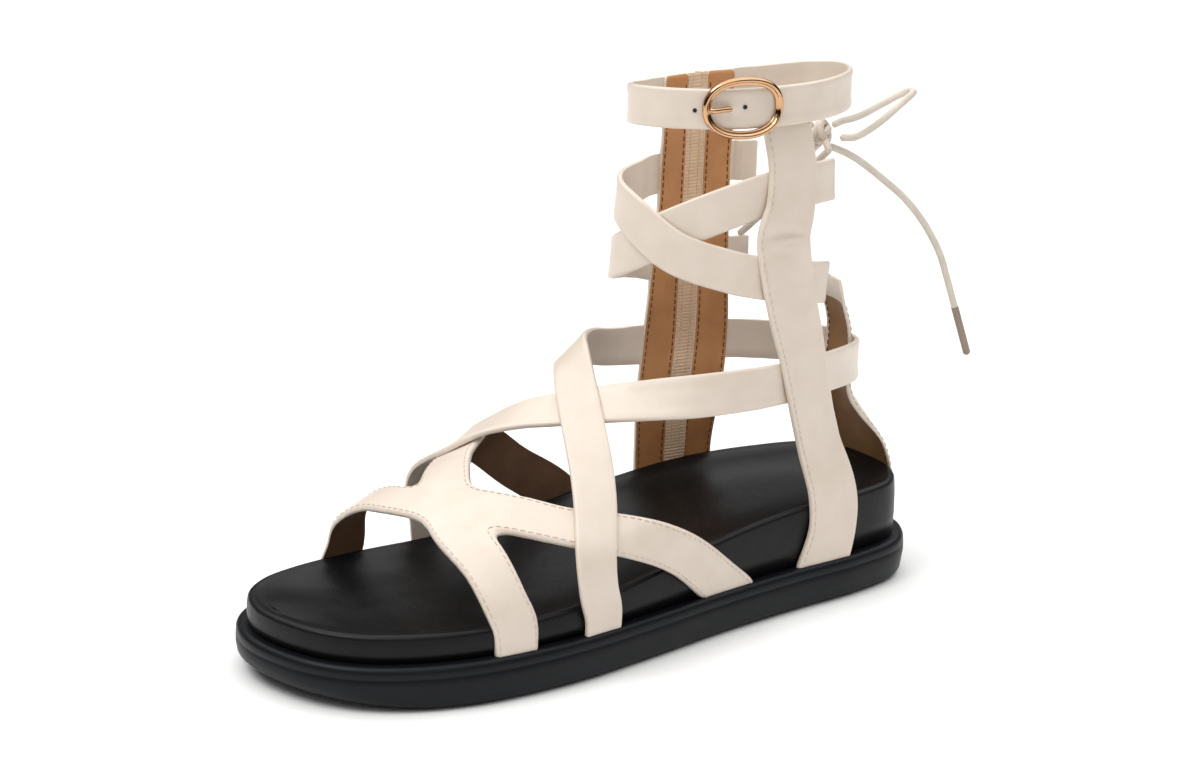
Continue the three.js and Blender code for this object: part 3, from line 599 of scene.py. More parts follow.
def cordPiece(name, path, node, material=creamCord, radius=cordRadius):
    bm = bmesh.new()
    loft(bm, tubeRings(path, radius, 12))
    return finished(name, bm, [material], replaces=[node])


def agletPiece(name, path, node):
    along = (path[-1] - path[-2]).normalized()
    start = path[-1] + along * gap
    return cordPiece(name, [start + along * 19 * k / 6 for k in range(7)], node, taupeTip, 1.4)


cordRoutes = (
    ("lace_loop_outer_cord", loopOuter, "lace_loop_outer", "knot"),
    ("lace_loop_inner_cord", loopInner, "lace_loop_inner", "knot"),
    ("lace_end_outer_cord", endOuter, "lace_end_outer", "bare"),
    ("lace_end_inner_cord", endInner, "lace_end_inner", "bare"))
cordPieces, cordPaths = {}, {}
for name, route, node, farEnd in cordRoutes:
    cordPaths[name] = smoothPath(route, 1.2)
    cordPieces[name] = cordPiece(name, cordPaths[name], node)
tips = {"lace_end_outer_cord": agletPiece("lace_tip_outer", cordPaths["lace_end_outer_cord"], "aglet_outer"),
        "lace_end_inner_cord": agletPiece("lace_tip_inner", cordPaths["lace_end_inner_cord"], "aglet_inner")}

# The knot: the cord wound about itself
bm = bmesh.new()
for tilt, size, shift in ((0.1, 2.7, -1.2), (-0.35, 2.9, 1.0), (1.2, 2.3, 0.2)):
    turnBy = Matrix.Rotation(tilt, 3, "Y") @ Matrix.Rotation(0.5, 3, "Z")
    ring = [knotCentre + turnBy @ Vector((shift, size * math.cos(t), size * 1.15 * math.sin(t)))
            for t in [2 * math.pi * k / 28 for k in range(28)]]
    rings = tubeRings(ring, cordRadius, 10, taper=False)
    loft(bm, rings, closedEnds=False, loop=True)
knot = finished("lace_knot_wrap", bm, [creamCord], replaces=["lace_knot"])

crossing = {"lowerInner": spot(-25.5, 48.5, 124.4), "upperOuter": spot(15.5, 41.2, 162.2),
            "lowerOuter": spot(20, 53, 127.4), "upperInner": spot(-21, 38.4, 157.8)}
bm = bmesh.new()
middle = crossing["lowerInner"].lerp(crossing["upperOuter"], 0.5)
for a, b in (("lowerInner", "upperOuter"), ("lowerOuter", "upperInner")):
    beside = middle + Vector((0, 1.1 if a == "lowerInner" else -1.1, 0))
    loft(bm, tubeRings(smoothPath([crossing[a], beside, crossing[b]], 1.5), cordRadius, 12))
for corner in ("upperOuter", "upperInner"):
    loft(bm, tubeRings(smoothPath([crossing[corner], knotCentre], 1.5), cordRadius, 12))
finished("lace_crossing_cords", bm, [creamCord], replaces=["lace_crossings"])
bm = bmesh.new()
loft(bm, tubeRings(smoothPath([spot(19.5, 42.5, 117), spot(-24.5, 39, 115.5)], 1.5), cordRadius, 12))
finished("lace_lower_cord", bm, [creamCord], replaces=["lace_lower_run"])
print("lace made")


def rimHeight(ahead):
    return lerp(footbedHeel, footbedToe, smoothstep(ahead, 0.2 * soleLength, 0.72 * soleLength))


def underside(ahead):
    return smoothstep(ahead, 215, soleLength) * 4


# Depth of the footbed's bowl, with soft hollows left by the toes and the ball of the foot
def bowl(ahead, across):
    depth = lerp(5, 3, smoothstep(ahead, 60, 190))
    ends = smoothstep(ahead, 8, 34) * (1 - smoothstep(ahead, 225, 254))
    return depth * ends * (1 - across ** 4)


def soleSkin(name, layers, top, bottom, material, node, rungs):
    bm = bmesh.new()
    rings = []
    for inset, height in layers:
        rings.append([Vector((p.x, p.y, height(heelCentre - p.y))) for p in insetOutline(round(inset, 3))])
    made = loft(bm, rings, closedEnds=False)
    toe = min(range(len(rings[0])), key=lambda i: rings[0][i].y)
    for ring, sink, flip in ((made[0], bottom, True), (made[-1], top, False)):
        right, left = ring[:toe + 1], [ring[0], *reversed(ring[toe:])]
        rows = []
        for k in range(len(right)):
            a, b = right[k], left[min(k, len(left) - 1)]
            row = [a]
            for j in range(1, rungs):
                point = a.co.lerp(b.co, j / rungs)
                point.z -= sink(heelCentre - point.y, 2 * j / rungs - 1, point)
                row.append(bm.verts.new(point))
            rows.append(row + [b] if a != b else [a])
        for a, b in zip(rows, rows[1:]):
            for j in range(rungs):
                corners = [a[min(j, len(a) - 1)], b[min(j, len(b) - 1)], b[min(j + 1, len(b) - 1)],
                           a[min(j + 1, len(a) - 1)]]
                corners = list(dict.fromkeys(corners))
                if len(corners) > 2:
                    bm.faces.new(reversed(corners) if flip else corners)
    return finished(name, bm, [material], replaces=[node])


def flat(ahead, across, point):
    return 0.0


# Shallow hollow of the outsole's underside below the arch
def archHollow(ahead, across, point):
    return -1.6 * math.sin(math.pi * clamp((ahead - 75) / 65)) ** 2 * (1 - across ** 2)


def footbedTop(ahead, across, point):
    toes = 0.9 * smoothstep(ahead, 150, 185) * noise.noise(point * 0.05)
    return bowl(ahead, across) + toes * (1 - across ** 4)


foot = outsoleHeight + 0.05
rimLayers = [(welt + rimRadius * (1 - math.cos(t)), t) for t in [math.pi / 2 * k / 6 for k in range(7)]]
footbedLayers = [(welt, lambda ahead: foot),
                 (welt - 0.4, lambda ahead: lerp(foot, rimHeight(ahead) - rimRadius, 0.4)),
                 (welt - 0.3, lambda ahead: lerp(foot, rimHeight(ahead) - rimRadius, 0.8))]
for inset, t in rimLayers:
    footbedLayers.append((inset, lambda ahead, t=t: rimHeight(ahead) - rimRadius * (1 - math.sin(t))))
for inset, drop in ((0.7, 0.06), (1.3, 0.3), (2.2, 0.55), (3.6, 0.7)):
    footbedLayers.append((welt + rimRadius + inset, lambda ahead, drop=drop: rimHeight(ahead) - drop))
soleSkin("footbed_cover", footbedLayers, footbedTop, flat, blackFootbed, "footbed", 24)

outsoleLayers = [
    (4.5, underside), (3.2, lambda ahead: underside(ahead) + 0.3), (1.8, lambda ahead: underside(ahead) + 1.3),
    (0.9, lambda ahead: underside(ahead) + 2.8), (0.3, lambda ahead: 7), (0, lambda ahead: 9),
    (0.02, lambda ahead: 11.7), (0.3, lambda ahead: 12.05), (0.1, lambda ahead: 12.4),
    (0.2, lambda ahead: 14.2), (0.7, lambda ahead: 15.3), (1.5, lambda ahead: 15.9), (2.6, lambda ahead: 16)]
soleSkin("outsole_rubber", outsoleLayers, flat, archHollow, blackRubber, "outsole", 8)
print("sole made")

# Straps. Their lower ends are held in the joint between footbed and outsole
soleEdge = 12
vampFrontToHeel = table("z turn width", (soleEdge, 150, 17), (28, 146, 16), (38, 135, 15.5), (45, 123, 15.5),
                        (49, 112, 15), (51.5, 96, 15.5), (54, 70, 19), (54, 46, 17), (51, 20, 15), (45, -4, 15),
                        (34, -15, 16), (soleEdge, -26, 18))
vampHeelToFront = table("z turn width", (soleEdge, 14, 15.5), (24, 17.2, 16), (33, 24.5, 15.5), (43, 38, 16),
                        (50.5, 60, 18), (56, 84, 19), (60, 107, 18), (62.5, 124, 17), (57, 158, 16),
                        (46, 184, 16), (31, 195, 17), (soleEdge, 199, 18))
instepOuter = table("z turn layer", (soleEdge, -3, 0), (22, -2.5, 0.1), (32, -0.5, 0.5), (43, 5, 0.9),
                    (55.5, 18, 1), (65, 35, 1), (74.3, 52, 1), (84, 73, 1), (89.5, 94, 1), (91, 118, 1),
                    (89, 146, 0.6), (86, 172, 0), (84, 192, 0))
instepInner = table("z turn upright layer", (soleEdge, 176, 0, 0), (30, 172, 0, 0.3), (48, 154, 0, 1),
                    (61.5, 124, 0, 1), (69, 110, 0, 1), (75, 91, 0, 0.5), (79, 73, 0, 0), (82, 55, 0, 0),
                    (84, 36, 0, 0), (85, 10, 0, 0), (84, -15, 0.5, 0), (83, -40, 1, 0), (80, -70, 1, 0),
                    (79, -100, 1, 0), (81, -130, 1, 0), (83, -150, 0.5, 0), (83, -165, 0, 0))
ankleLower = table("z turn layer", (117, -27, 0), (119, -12, 0), (122, 4, 0), (126, 26, 0.6), (133, 54, 1),
                   (144, 82, 1), (148, 108, 0.6), (149, 140, 0), (150, 170, 0), (151, 195, 0), (151, 214, 0))
ankleUpper = table("z turn", (153, -29), (153, -12), (152, 8), (147, 33), (140, 57), (131, 84), (125, 115),
                   (121, 145), (116, 172), (115, 195), (115, 215))
collarRoute = table("z turn layer", (178, 176, 0), (178.4, 150, 0.4), (179.8, 120, 1), (181.5, 90, 1),
                    (182.2, 60, 1), (182, 30, 1), (182, 0, 1), (182, -30, 1), (182, -60, 1), (182, -90, 1),
                    (180.8, -120, 1), (179, -150, 0.4), (178, -172, 0))
outerBandRoute = table(
    "z ahead width layer", (collarTop - 1, 64.5, 20, 0), (175, 64.8, 20, 0), (160, 64.6, 20, 1),
    (146, 66.3, 20.5, 1), (134, 69.5, 22, 1), (112, 66.5, 22, 1), (94, 61.5, 22, 1), (76, 57.5, 22, 1),
    (59, 52.8, 22, 1), (42, 49, 22, 0), (28, 49.5, 22, 0), (soleEdge, 54, 24, 0))
panelRoute = table("z ahead half", (panelTop, 66.5, 15.5), (140, 66.5, 16), (107, 67, 17), (85, 67.5, 18),
                   (66, 69.4, 18), (42, 69.6, 17), (28, 69.6, 17), (soleEdge, 69.6, 17.5))
leatherOnly = [creamLeather, creamLeather]
lined = [creamLeather, tanLining]
panelBow = 0.8
panelPlaces = stations([{"width": 2 * row["half"], **row} for row in panelRoute], 120, side=-1)


# Straps are sewn in between the inner panel's leather and its lining: the end of a route runs into the
# panel's plane and stops inside its edge. edge is 1 for the panel's front and -1 for its rear
def tuck(places, edge, atEnd=True, since=0.5):
    kept = []
    for i, here in enumerate(places if atEnd else places[::-1]):
        near = min(panelPlaces, key=lambda p: (p["centre"] - here["centre"]).length_squared)
        away = here["centre"] - near["centre"]
        across, half = away.dot(near["across"]) * edge, near["width"] / 2
        if i > len(places) * since and abs(away.dot(near["out"])) < 14:
            if across < half - 4:
                break
            share = 1 - smoothstep(across, half, half + 11)
            lift = 0.5 - panelBow * min(across / half, 1) ** 2
            here["centre"] = here["centre"] + near["out"] * (lift - away.dot(near["out"])) * share
            here["thick"] = lerp(here["thick"], 1.0, share)
            here["normal"] = here["normal"].lerp(near["out"], share).normalized()
        kept.append(here)
    return orient(kept if atEnd else kept[::-1])


def makeStraps():
    a = tuck(stations(instepOuter, 130), 1)
    strapPiece("strap_instep_outer", a, leatherOnly, sunk=0.12)
    b = tuck(stations(instepInner, 170), -1)
    strapPiece("strap_instep_inner", b, leatherOnly, sunk=0.3, inside=-0.15)
    d = tuck(stations(ankleLower, 130, upright=0.6), 1)
    strapPiece("strap_ankle_lower", d, leatherOnly, sunk=0.16)
    c = tuck(stations(ankleUpper, 130, upright=0.6), 1)
    strapPiece("strap_ankle_upper", c, leatherOnly, sunk=0.16)
    for name, route in (("tab_upper_inner", ankleLower), ("tab_lower_inner", ankleUpper)):
        tab = tuck(stations(route, 40, upright=0.6, span=(7.4, 10)), -1, False, 0.15)
        strapPiece(name, tab, leatherOnly, sunk=0.1, rounded=(0, 1.5))
    ring = tuck(tuck(stations(collarRoute, 170, upright=1.0, width=14), -1), 1, atEnd=False)
    strapPiece("ankle_collar", ring, leatherOnly, sunk=0.3)
    band = stations(outerBandRoute, 130, side=1)
    outer = strapPiece("outer_band", band, lined, sunk=0.12, creases=table(
        "z depth wide slant low high", (137, 1.4, 2.0, 0.12, -1.3, 1.0), (131.5, 0.8, 1.6, -0.15, -1.3, 0.3),
        (52, 0.5, 4.0, 0.2, -1.2, 1.2), (60, 0.25, 3.0, -0.25, -0.2, 1.3), (90, 0.15, 5.0, 0.1, -1.3, 1.3)))
    for edge in (-1, 1):
        sewStrap(outer, band[8:], lambda here: edge * (here["width"] / 2 - 1.6), "brown", inner=True)
    sewStrap(outer, band[8:], lambda here: 1.4 - here["width"] / 2, "cream")
    return outer


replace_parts(makeStraps(), "upper")

# Inner panel: two halves beside the zip. Its leather rises over the strap ends sewn in and dips between
slot = 7.6
bumps = {"front": ((178.5, 0.75), (149.5, 0.65), (117, 0.65), (86, 0.6)),
         "rear": ((178.5, 0.75), (151, 0.6), (115, 0.6), (83, 0.6))}
for name, edge in (("front", 1), ("rear", -1)):
    rows = []
    for row in panelRoute:
        width = row["half"] - slot / 2
        rows.append({"z": row["z"], "ahead": row["ahead"] + edge * (slot + width) / 2, "width": width})
    low, high = (-0.7, 2.8) if edge > 0 else (-2.8, 0.7)
    rises = [{"z": z, "depth": -rise, "wide": 6.3, "slant": 0, "low": low, "high": high}
             for z, rise in bumps[name]]
    folds = table("z depth wide slant low high", (166, 0.3, 2.2, 0.3, -1.2, 1.2),
                  (134, 0.35, 2.6, -0.25, -1.2, 1.2), (128, 0.25, 2, 0.3, -1.2, 1.2),
                  (101, 0.3, 2.6, 0.2, -1.2, 1.2), (70, 0.3, 3, -0.2, -1.2, 1.2))
    places = stations(rows, 150, side=-1)
    panel = strapPiece(f"inner_panel_{name}", places, lined, creases=rises + folds, rounded=(2.2, 0))
    for rim in (1, -1):
        for inner, thread in ((False, "cream"), (True, "brown")):
            sewStrap(panel, places[3:], lambda here: edge * rim * (here["width"] / 2 - 1.5), thread, inner)
belowZip = [{"z": row["z"], "ahead": row["ahead"]} for row in panelRoute[5:]]
cover = stations(belowZip, 24, side=-1, width=slot + 0.8, lift=1.2, thick=0.75)
strapPiece("zip_end_cover", cover, leatherOnly)
print("straps made")


# Toe piece: one cut piece of two crossing bands
def makeVamp():
    crotch = 5.5             # how far the corners between the crossing bands are rounded
    bands = [stations(vampFrontToHeel, 70), stations(vampHeelToFront, 70)]

    def edgeDistance(point):
        found = []
        for places in bands:
            best = 1e9
            for a, b in zip(places, places[1:]):
                ab = b["centre"] - a["centre"]
                t = clamp((point - a["centre"]).dot(ab) / ab.length_squared)
                away = (point - a["centre"] - ab * t).length - lerp(a["width"], b["width"], t) / 2
                best = min(best, away)
            found.append(best)
        h = clamp(0.5 + 0.5 * (found[1] - found[0]) / crotch)
        return lerp(found[1], found[0], h) - crotch * h * (1 - h) * 0.9

    bm = bmesh.new()
    away = bm.verts.layers.float.new("away")
    turns = [-44 + 1.5 * k for k in range(176)]
    heights = [soleEdge + 0.8 * k for k in range(80)]
    grid = [[lastPoint(z, turn) for turn in turns] for z in heights]
    made = []
    for i, row in enumerate(grid):
        made.append([])
        for j, point in enumerate(row):
            vert = bm.verts.new(point)
            vert[away] = edgeDistance(point)
            made[-1].append(vert)
    for i in range(len(grid) - 1):
        for j in range(len(turns) - 1):
            corners = (made[i][j], made[i][j + 1], made[i + 1][j + 1], made[i + 1][j])
            if min(v[away] for v in corners) < 1:
                bm.faces.new(corners)
    for level in (0.0, -0.22, -0.7, -1.5):
        cuts = [e for e in bm.edges if (e.verts[0][away] - level) * (e.verts[1][away] - level) < 0]
        fresh = []
        for edge in cuts:
            a, b = edge.verts
            share = clamp((level - a[away]) / (b[away] - a[away]), 0.02, 0.98)
            _, vert = bmesh.utils.edge_split(edge, a, share)
            vert[away] = level
            fresh.append(vert)
        for face in list(bm.faces):
            on = [v for v in face.verts if abs(v[away] - level) < 1e-6]
            if len(on) == 2 and not any(set(e.verts) == set(on) for e in face.edges):
                bmesh.utils.face_split(face, on[0], on[1])
        if level == 0.0:
            outside = [f for f in bm.faces if max(v[away] for v in f.verts) > 1e-5]
            bmesh.ops.delete(bm, geom=outside, context="FACES")
    bmesh.ops.delete(bm, geom=[v for v in bm.verts if not v.link_faces], context="VERTS")
    bm.normal_update()
    top = max(bm.faces, key=lambda f: f.calc_center_median().z)
    if top.normal.z < 0:
        bmesh.ops.reverse_faces(bm, faces=bm.faces)
    bm.normal_update()
    inner = list(bm.faces)
    seam = [e for e in bm.edges if all(abs(v[away] + 1.5) < 1e-6 for v in e.verts)]
    lines = []
    while seam:
        chain = list(seam.pop().verts)
        grown = True
        while grown:
            grown = False
            for edge in seam:
                for at, tip in ((0, chain[0]), (-1, chain[-1])):
                    if tip in edge.verts and not grown:
                        chain.insert(0 if at == 0 else len(chain), edge.other_vert(tip))
                        seam.remove(edge)
                        grown = True
                if grown:
                    break
        lines.append(([v.co.copy() for v in chain], [v.normal.copy() for v in chain]))
    copy = bmesh.ops.duplicate(bm, geom=bm.verts[:] + bm.edges[:] + bm.faces[:])
    outer = [g for g in copy["geom"] if isinstance(g, bmesh.types.BMVert)]
    lifts = []
    for vert in outer:
        depth = clamp(-vert[away] / 1.3)
        rise = leather * math.sqrt(1 - (1 - depth) ** 2)
        rise += 0.12 * noise.noise(vert.co * 0.08) * depth
        lifts.append((vert, vert.co + vert.normal * rise))
    for vert, goal in lifts:
        vert.co = goal
    for face in inner:
        face.material_index = 1
        face.normal_flip()
    rim = [v for v in bm.verts if v.is_boundary]
    bmesh.ops.remove_doubles(bm, verts=rim, dist=0.01)
    return bm, lines


vamp, vampSeams = makeVamp()
# The toe piece's underside takes the darker lining copy, partly painted shade
toePiece = finished("toe_piece", vamp, [creamLeather, darkLiningAndShade])
for line, outs in vampSeams:
    if len(line) > 6:
        sew(toePiece, line, outs, "cream")
print("toe piece made")

# Heel counter, with a padded rounded top
counterRows = table("z half inside on", (soleEdge, 17, 0, soleEdge), (26, 17, 0, 26), (38, 16, 0, 38),
                    (50, 14.5, 0.5, 52), (61, 13, 1, 67), (70, 12, 1.1, 81), (90, 10.5, 1.1, 83),
                    (103, 9.5, 1.1, 96), (107, 8, 1.1, 102), (109, 5.5, 1.1, 104))


def backTurn(z, x):
    low, high = -150.0, -30.0
    for step in range(24):
        turn = (low + high) / 2
        if lastPoint(z, turn).x < x:
            low = turn
        else:
            high = turn
    return (low + high) / 2


def counterPiece():
    bm = bmesh.new()
    rings = []
    for i in range(61):
        at = lerp(soleEdge, 109, i / 60)
        row = {column: between(counterRows, "z", column, at) for column in ("half", "inside", "on")}
        inner, outer = [], []
        for k in range(17):
            share = 2 * k / 16 - 1
            turn = backTurn(row["on"], -1 + row["half"] * share)
            normal = lastNormal(row["on"], turn)
            normal.z = 0
            normal.normalize()
            point = lastPoint(row["on"], turn)
            point.z = at
            point -= normal * row["inside"] * 1.8
            pad = 0.5 * smoothstep(at, 100, 104) * (1 - share ** 2)
            inner.append(point - normal * pad)
            outer.append(point + normal * (1.5 - 0.9 * abs(share) ** 14))
        rings.append(inner + outer[::-1])
    middle = [lerp(a, b, 0.5) for a, b in zip(inner, outer)]
    for share, lift in ((0.75, 0.4), (0.35, 0.6)):
        rings.append([c + (p - c) * share + Vector((0, 0, lift))
                      for p, c in zip(inner + outer[::-1], middle + middle[::-1])])
    loft(bm, rings, range(1, 15))
    for face in bm.faces:
        if face.material_index and face.calc_center_median().z > 100.5:
            face.material_index = 0
    # Inside of the heel counter takes the darker lining copy, partly painted shade
    piece = finished("heel_counter_leather", bm, [creamLeather, heelLiningAndShade],
                     replaces=["heel_counter"])
    rows = [ring for ring, at in zip(rings, [lerp(soleEdge, 109, i / 60) for i in range(61)]) if at < 103]
    for column, inwards, thread in ((1, False, "brown"), (15, False, "brown"),
                                    (1, True, "cream"), (15, True, "cream")):
        line = [ring[33 - column if inwards else column] for ring in rows]
        outs = [(ring[33 - column] - ring[column]).normalized() * (1 if inwards else -1) for ring in rows]
        sew(piece, line, outs, thread)
    return piece


counterPiece()
print("heel counter made")


# A strip along the zip
def zipRun(bottom, width, thickness, lift):
    rows = [{"z": row["z"], "ahead": row["ahead"]} for row in panelRoute if row["z"] > 42]
    rows.append({"z": bottom, "ahead": 69.6})
    return stations(rows, 150, side=-1, width=width, thick=thickness, lift=lift)


tape = zipRun(20, 9, 0.6, 0.5)
tapePiece = finished("zip_tape_woven", strapMesh(bmesh.new(), tape, crown=0, wave=0), [zipFabric, zipFabric],
                     replaces=["zip_tape"])
for across in (-1.9, 1.9):
    sewStrap(tapePiece, tape, across, "cream", inner=True, pitch=1.3)
bm = bmesh.new()
teeth = zipRun(43, 3, 1.1, 1.5)
pitch, k = 0.66, 0
for i, here in enumerate(teeth[:-1]):
    after = teeth[i + 1]
    while k * pitch < after["run"]:
        share = (k * pitch - here["run"]) / (after["run"] - here["run"])
        side = 1 if k % 2 else -1
        frameOf = Matrix((here["across"], here["along"], here["out"])).transposed().to_4x4()
        centre = here["centre"].lerp(after["centre"], share) + here["across"] * side * 0.75
        shape = Matrix.Rotation(side * 0.12, 4, "Z") @ Matrix.Diagonal((2.5, 0.52, 0.95, 1))
        made = bmesh.ops.create_cube(bm, size=1, matrix=Matrix.Translation(centre) @ frameOf @ shape)
        edges = list({e for v in made["verts"] for e in v.link_edges})
        bmesh.ops.bevel(bm, geom=edges, offset=0.2, segments=1, profile=0.5, affect="EDGES", material=-1)
        k += 1
finished("zip_coil", bm, [zipNylon], replaces=["zip_teeth"])
print("zip made")


# Metal pieces. Frame on the last: x along the floor, y up, z outwards
def placeOn(z, turn, lift):
    out = lastNormal(z, turn)
    out.z = 0
    out.normalize()
    along = Vector((0, 0, 1)).cross(out)
    turned = Matrix((along, Vector((0, 0, 1)), out)).transposed().to_4x4()
    return Matrix.Translation(lastPoint(z, turn) + out * lift) @ turned


# Flat plate with holes, its edges rounded
def plate(bm, loops, depth, bevel, place):
    part = bmesh.new()
    edges = []
    for loop in loops:
        verts = [part.verts.new((x, y, 0)) for x, y in loop]
        edges += [part.edges.new(pair) for pair in zip(verts, verts[1:] + verts[:1])]
    bmesh.ops.triangle_fill(part, edges=edges, use_beauty=True)
    grown = bmesh.ops.extrude_face_region(part, geom=part.faces[:])
    bmesh.ops.translate(part, verts=[g for g in grown["geom"] if isinstance(g, bmesh.types.BMVert)],
                        vec=(0, 0, depth))
    bmesh.ops.recalc_face_normals(part, faces=part.faces)
    sharp = [e for e in part.edges if len(e.link_faces) == 2 and e.calc_face_angle() > 0.5]
    bmesh.ops.bevel(part, geom=sharp, offset=bevel, segments=3, profile=0.5, affect="EDGES", material=-1)
    bmesh.ops.transform(part, matrix=place, verts=part.verts)
    mesh = bpy.data.meshes.new("plate")
    part.to_mesh(mesh)
    part.free()
    bm.from_mesh(mesh)
    bpy.data.meshes.remove(mesh)


def roundedBox(left, bottom, right, top, radius, steps=4):
    corners = ((right, top, 0), (left, top, 1), (left, bottom, 2), (right, bottom, 3))
    points = []
    for x, y, quarter in corners:
        cx = x - math.copysign(radius, x - (left + right) / 2)
        cy = y - math.copysign(radius, y - (bottom + top) / 2)
        for k in range(steps + 1):
            turn = math.pi / 2 * (quarter + k / steps)
            points.append((cx + radius * math.cos(turn), cy + radius * math.sin(turn)))
    return points


# Zip slider: a wedge-shaped plate with an arched bridge that the pull tab swings on
slider = {"z": sliderHeight, "lift": 2.9, "body": 1.6, "opening": 2.2, "arch": 1.2, "archWidth": 1.8,
          "reach": 3.8}
sliderTurn = sideTurn(slider["z"], 66.5, -1)
bm = bmesh.new()
onZip = placeOn(slider["z"], sliderTurn, slider["lift"])
wedge = [(-2.3, -6), (2.3, -6), (3.2, -3), (4.3, 1), (4.3, 4.6), (3.6, 5.6), (2.6, 6), (-2.6, 6), (-3.6, 5.6),
         (-4.3, 4.6), (-4.3, 1), (-3.2, -3)]
plate(bm, [wedge], slider["body"], 0.4, onZip)
top, reach = slider["body"] + slider["opening"] + slider["arch"], slider["reach"]
arch = [(-reach, 1.3), (-reach, top - 1.2), (-reach + 0.5, top - 0.4), (-reach + 1.4, top), (reach - 1.4, top),
        (reach - 0.5, top - 0.4), (reach, top - 1.2), (reach, 1.3), (reach - 1.4, 1.3), (reach - 1.4, 3.2),
        (reach - 2, 3.8), (2 - reach, 3.8), (1.4 - reach, 3.2), (1.4 - reach, 1.3)]
sideways = Matrix(((0, 0, 1, -slider["archWidth"] / 2), (1, 0, 0, 0), (0, 1, 0, 0), (0, 0, 0, 1)))
plate(bm, [arch], slider["archWidth"], 0.3, onZip @ sideways)
finished("zip_slider_plated", bm, [roseGold], replaces=["zip_slider"])

# Pull tab: a narrow head round the bridge, a long slot and a broad plain foot
bm = bmesh.new()
tabShape = [(-2.9, 0.65), (-3.1, -5), (-3.3, -7), (-3.35, -17.6), (-2.9, -18.6), (-2.2, -19), (2.2, -19),
            (2.9, -18.6), (3.35, -17.6), (3.3, -7), (3.1, -5), (2.9, 0.65)]
plate(bm, [tabShape, roundedBox(-1.7, -5, 1.7, -0.65, 0.5), roundedBox(-1.7, -12.7, 1.7, -7.2, 0.5)], 1.2, 0.32,
      placeOn(slider["z"], sliderTurn, slider["lift"] + 2.7) @ Matrix.Translation((0, 0, -0.6)))
finished("zip_pull_plated", bm, [roseGold], body="zip_pull", replaces=["zip_pull_tab"])

# Buckle: oval ring with a raised rim and a lower lip inside it, and a short fixed prong
buckle = {"turn": 25, "z": 182.5, "halfWidth": 13, "halfHeight": 9.1, "square": 2.3}
collarFace = 2 * leather - 0.1
onCollar = placeOn(buckle["z"], buckle["turn"], collarFace + 0.25)
ringProfile = [(1.5, 0), (1.62, 0.9), (1.35, 1.7), (0.75, 2.15), (0.15, 2.05), (-0.15, 1.55), (-0.35, 1.35),
               (-0.85, 1.4), (-1.2, 1.05), (-1.3, 0.45), (-1.2, 0)]
rings = []
for k in range(112):
    turn = 2 * math.pi * k / 112
    c, s = math.cos(turn), math.sin(turn)
    x = buckle["halfWidth"] * math.copysign(abs(c) ** (2 / buckle["square"]), c)
    y = buckle["halfHeight"] * math.copysign(abs(s) ** (2 / buckle["square"]), s)
    away = Vector((c / buckle["halfWidth"], s / buckle["halfHeight"], 0)).normalized()
    lowered = 0.028 * x * x * 0.35
    rings.append([onCollar @ (Vector((x, y, h - lowered)) + away * r) for r, h in ringProfile])
bm = bmesh.new()
loft(bm, rings, closedEnds=False, loop=True)
finished("buckle_ring_plated", bm, [roseGold], replaces=["buckle_frame"])
bm = bmesh.new()
prong = [onCollar @ Vector(p) for p in ((-12.6, 0, 2.0), (-11.4, 0, 2.35), (-9.5, 0, 1.9), (-7.5, 0, 1.15),
                                        (-5.2, 0, 0.9))]
loft(bm, tubeRings(smoothPath(prong, 0.6), 1.0, 12))
finished("buckle_prong_plated", bm, [roseGold], replaces=["buckle_prong"])

# Punched holes in the collar: dark discs set flush into the leather, their colour painted shade for the depth
# of each hole
bm = bmesh.new()
for x, y, beyond in ((0.4, 0.2, -0.2), (0, -0.6, 25.5)):
    hole = placeOn(buckle["z"] + y, buckle["turn"] + beyond, collarFace - 0.35) @ Matrix.Translation((x, 0, 0))
    bmesh.ops.create_cone(bm, cap_ends=True, segments=20, radius1=0.75, radius2=0.75, depth=0.9, matrix=hole)
finished("collar_holes_painted_shade", bm, [holeShade], smooth=False)
print("metal made")

for shade, material in (("cream", creamThread), ("brown", brownThread)):
    finished(f"stitches_{shade}", threads[shade], [material])
print("stitches made")

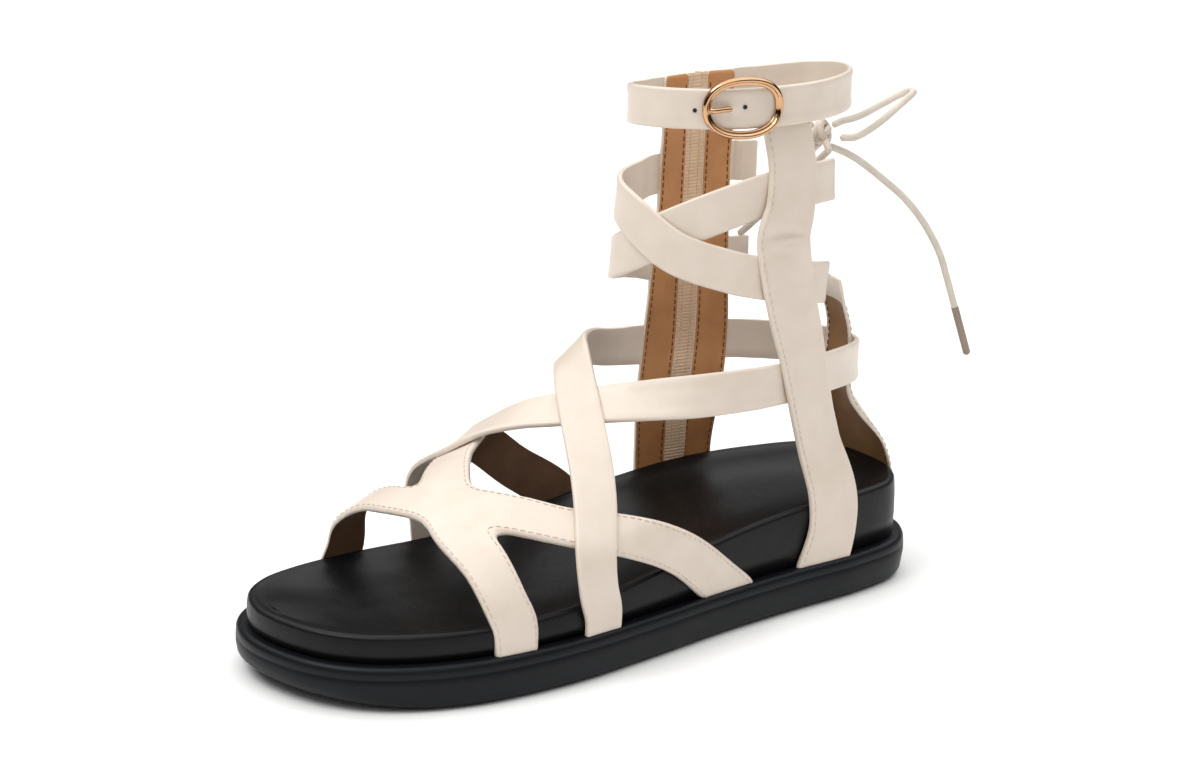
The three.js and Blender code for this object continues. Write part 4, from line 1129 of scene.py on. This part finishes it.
# Floor and light
bm = bmesh.new()
bmesh.ops.create_grid(bm, x_segments=1, y_segments=1, size=4)
floorMesh = bpy.data.meshes.new("floor")
bm.to_mesh(floorMesh)
bm.free()
floor = bpy.data.objects.new("floor", floorMesh)
bpy.context.scene.collection.objects.link(floor)
floor.location.z = -0.0002
floorMesh.materials.append(surface("pale floor", "#fbfbfa", "#f9f9f8", 0.85, []))
floor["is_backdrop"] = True


def addLight(name, place, target, size, power):
    light = bpy.data.objects.new(name, bpy.data.lights.new(name, "AREA"))
    bpy.context.scene.collection.objects.link(light)
    light.location = place
    light.rotation_euler = (Vector(target) - Vector(place)).to_track_quat("-Z", "Y").to_euler()
    light.data.shape = "RECTANGLE"
    light.data.size, light.data.size_y = size
    light.data.energy = power
    return light


addLight("key", (-0.02, -0.95, 1.3), (0.01, -0.15, 0.03), (0.65, 0.65), 8)
addLight("fill", (1.6, -0.6, 0.9), (0, -0.05, 0.08), (0.8, 0.8), 1.3)
addLight("ceiling", (-0.8, 1.6, 3.0), (-0.8, 1.6, 0), (7.0, 8.0), 225)
world = bpy.data.worlds.new("studio")
world.use_nodes = True
sky = world.node_tree.nodes["Background"]
sky.inputs["Strength"].default_value = 0.5
towards = world.node_tree.nodes.new("ShaderNodeTexCoord")
split = world.node_tree.nodes.new("ShaderNodeSeparateXYZ")
ramp = world.node_tree.nodes.new("ShaderNodeValToRGB")
world.node_tree.links.new(towards.outputs["Generated"], split.inputs["Vector"])
world.node_tree.links.new(split.outputs["Z"], ramp.inputs["Fac"])
world.node_tree.links.new(ramp.outputs["Color"], sky.inputs["Color"])
ramp.color_ramp.elements[0].color = (0.03, 0.03, 0.03, 1)
ramp.color_ramp.elements[1].color = (1.0, 1.0, 1.0, 1)
for position, value in ((0.28, 0.04), (0.45, 0.5), (0.7, 0.95)):
    ramp.color_ramp.elements.new(position).color = (value, value, value, 1)
bpy.context.scene.world = world
bpy.context.scene.view_settings.view_transform = "Standard"
print("light placed")

({"cad": [list(v) if hasattr(v, "__len__") else v for v in cadBounds],
           "visual": [list(v) if hasattr(v, "__len__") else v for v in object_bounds()]})
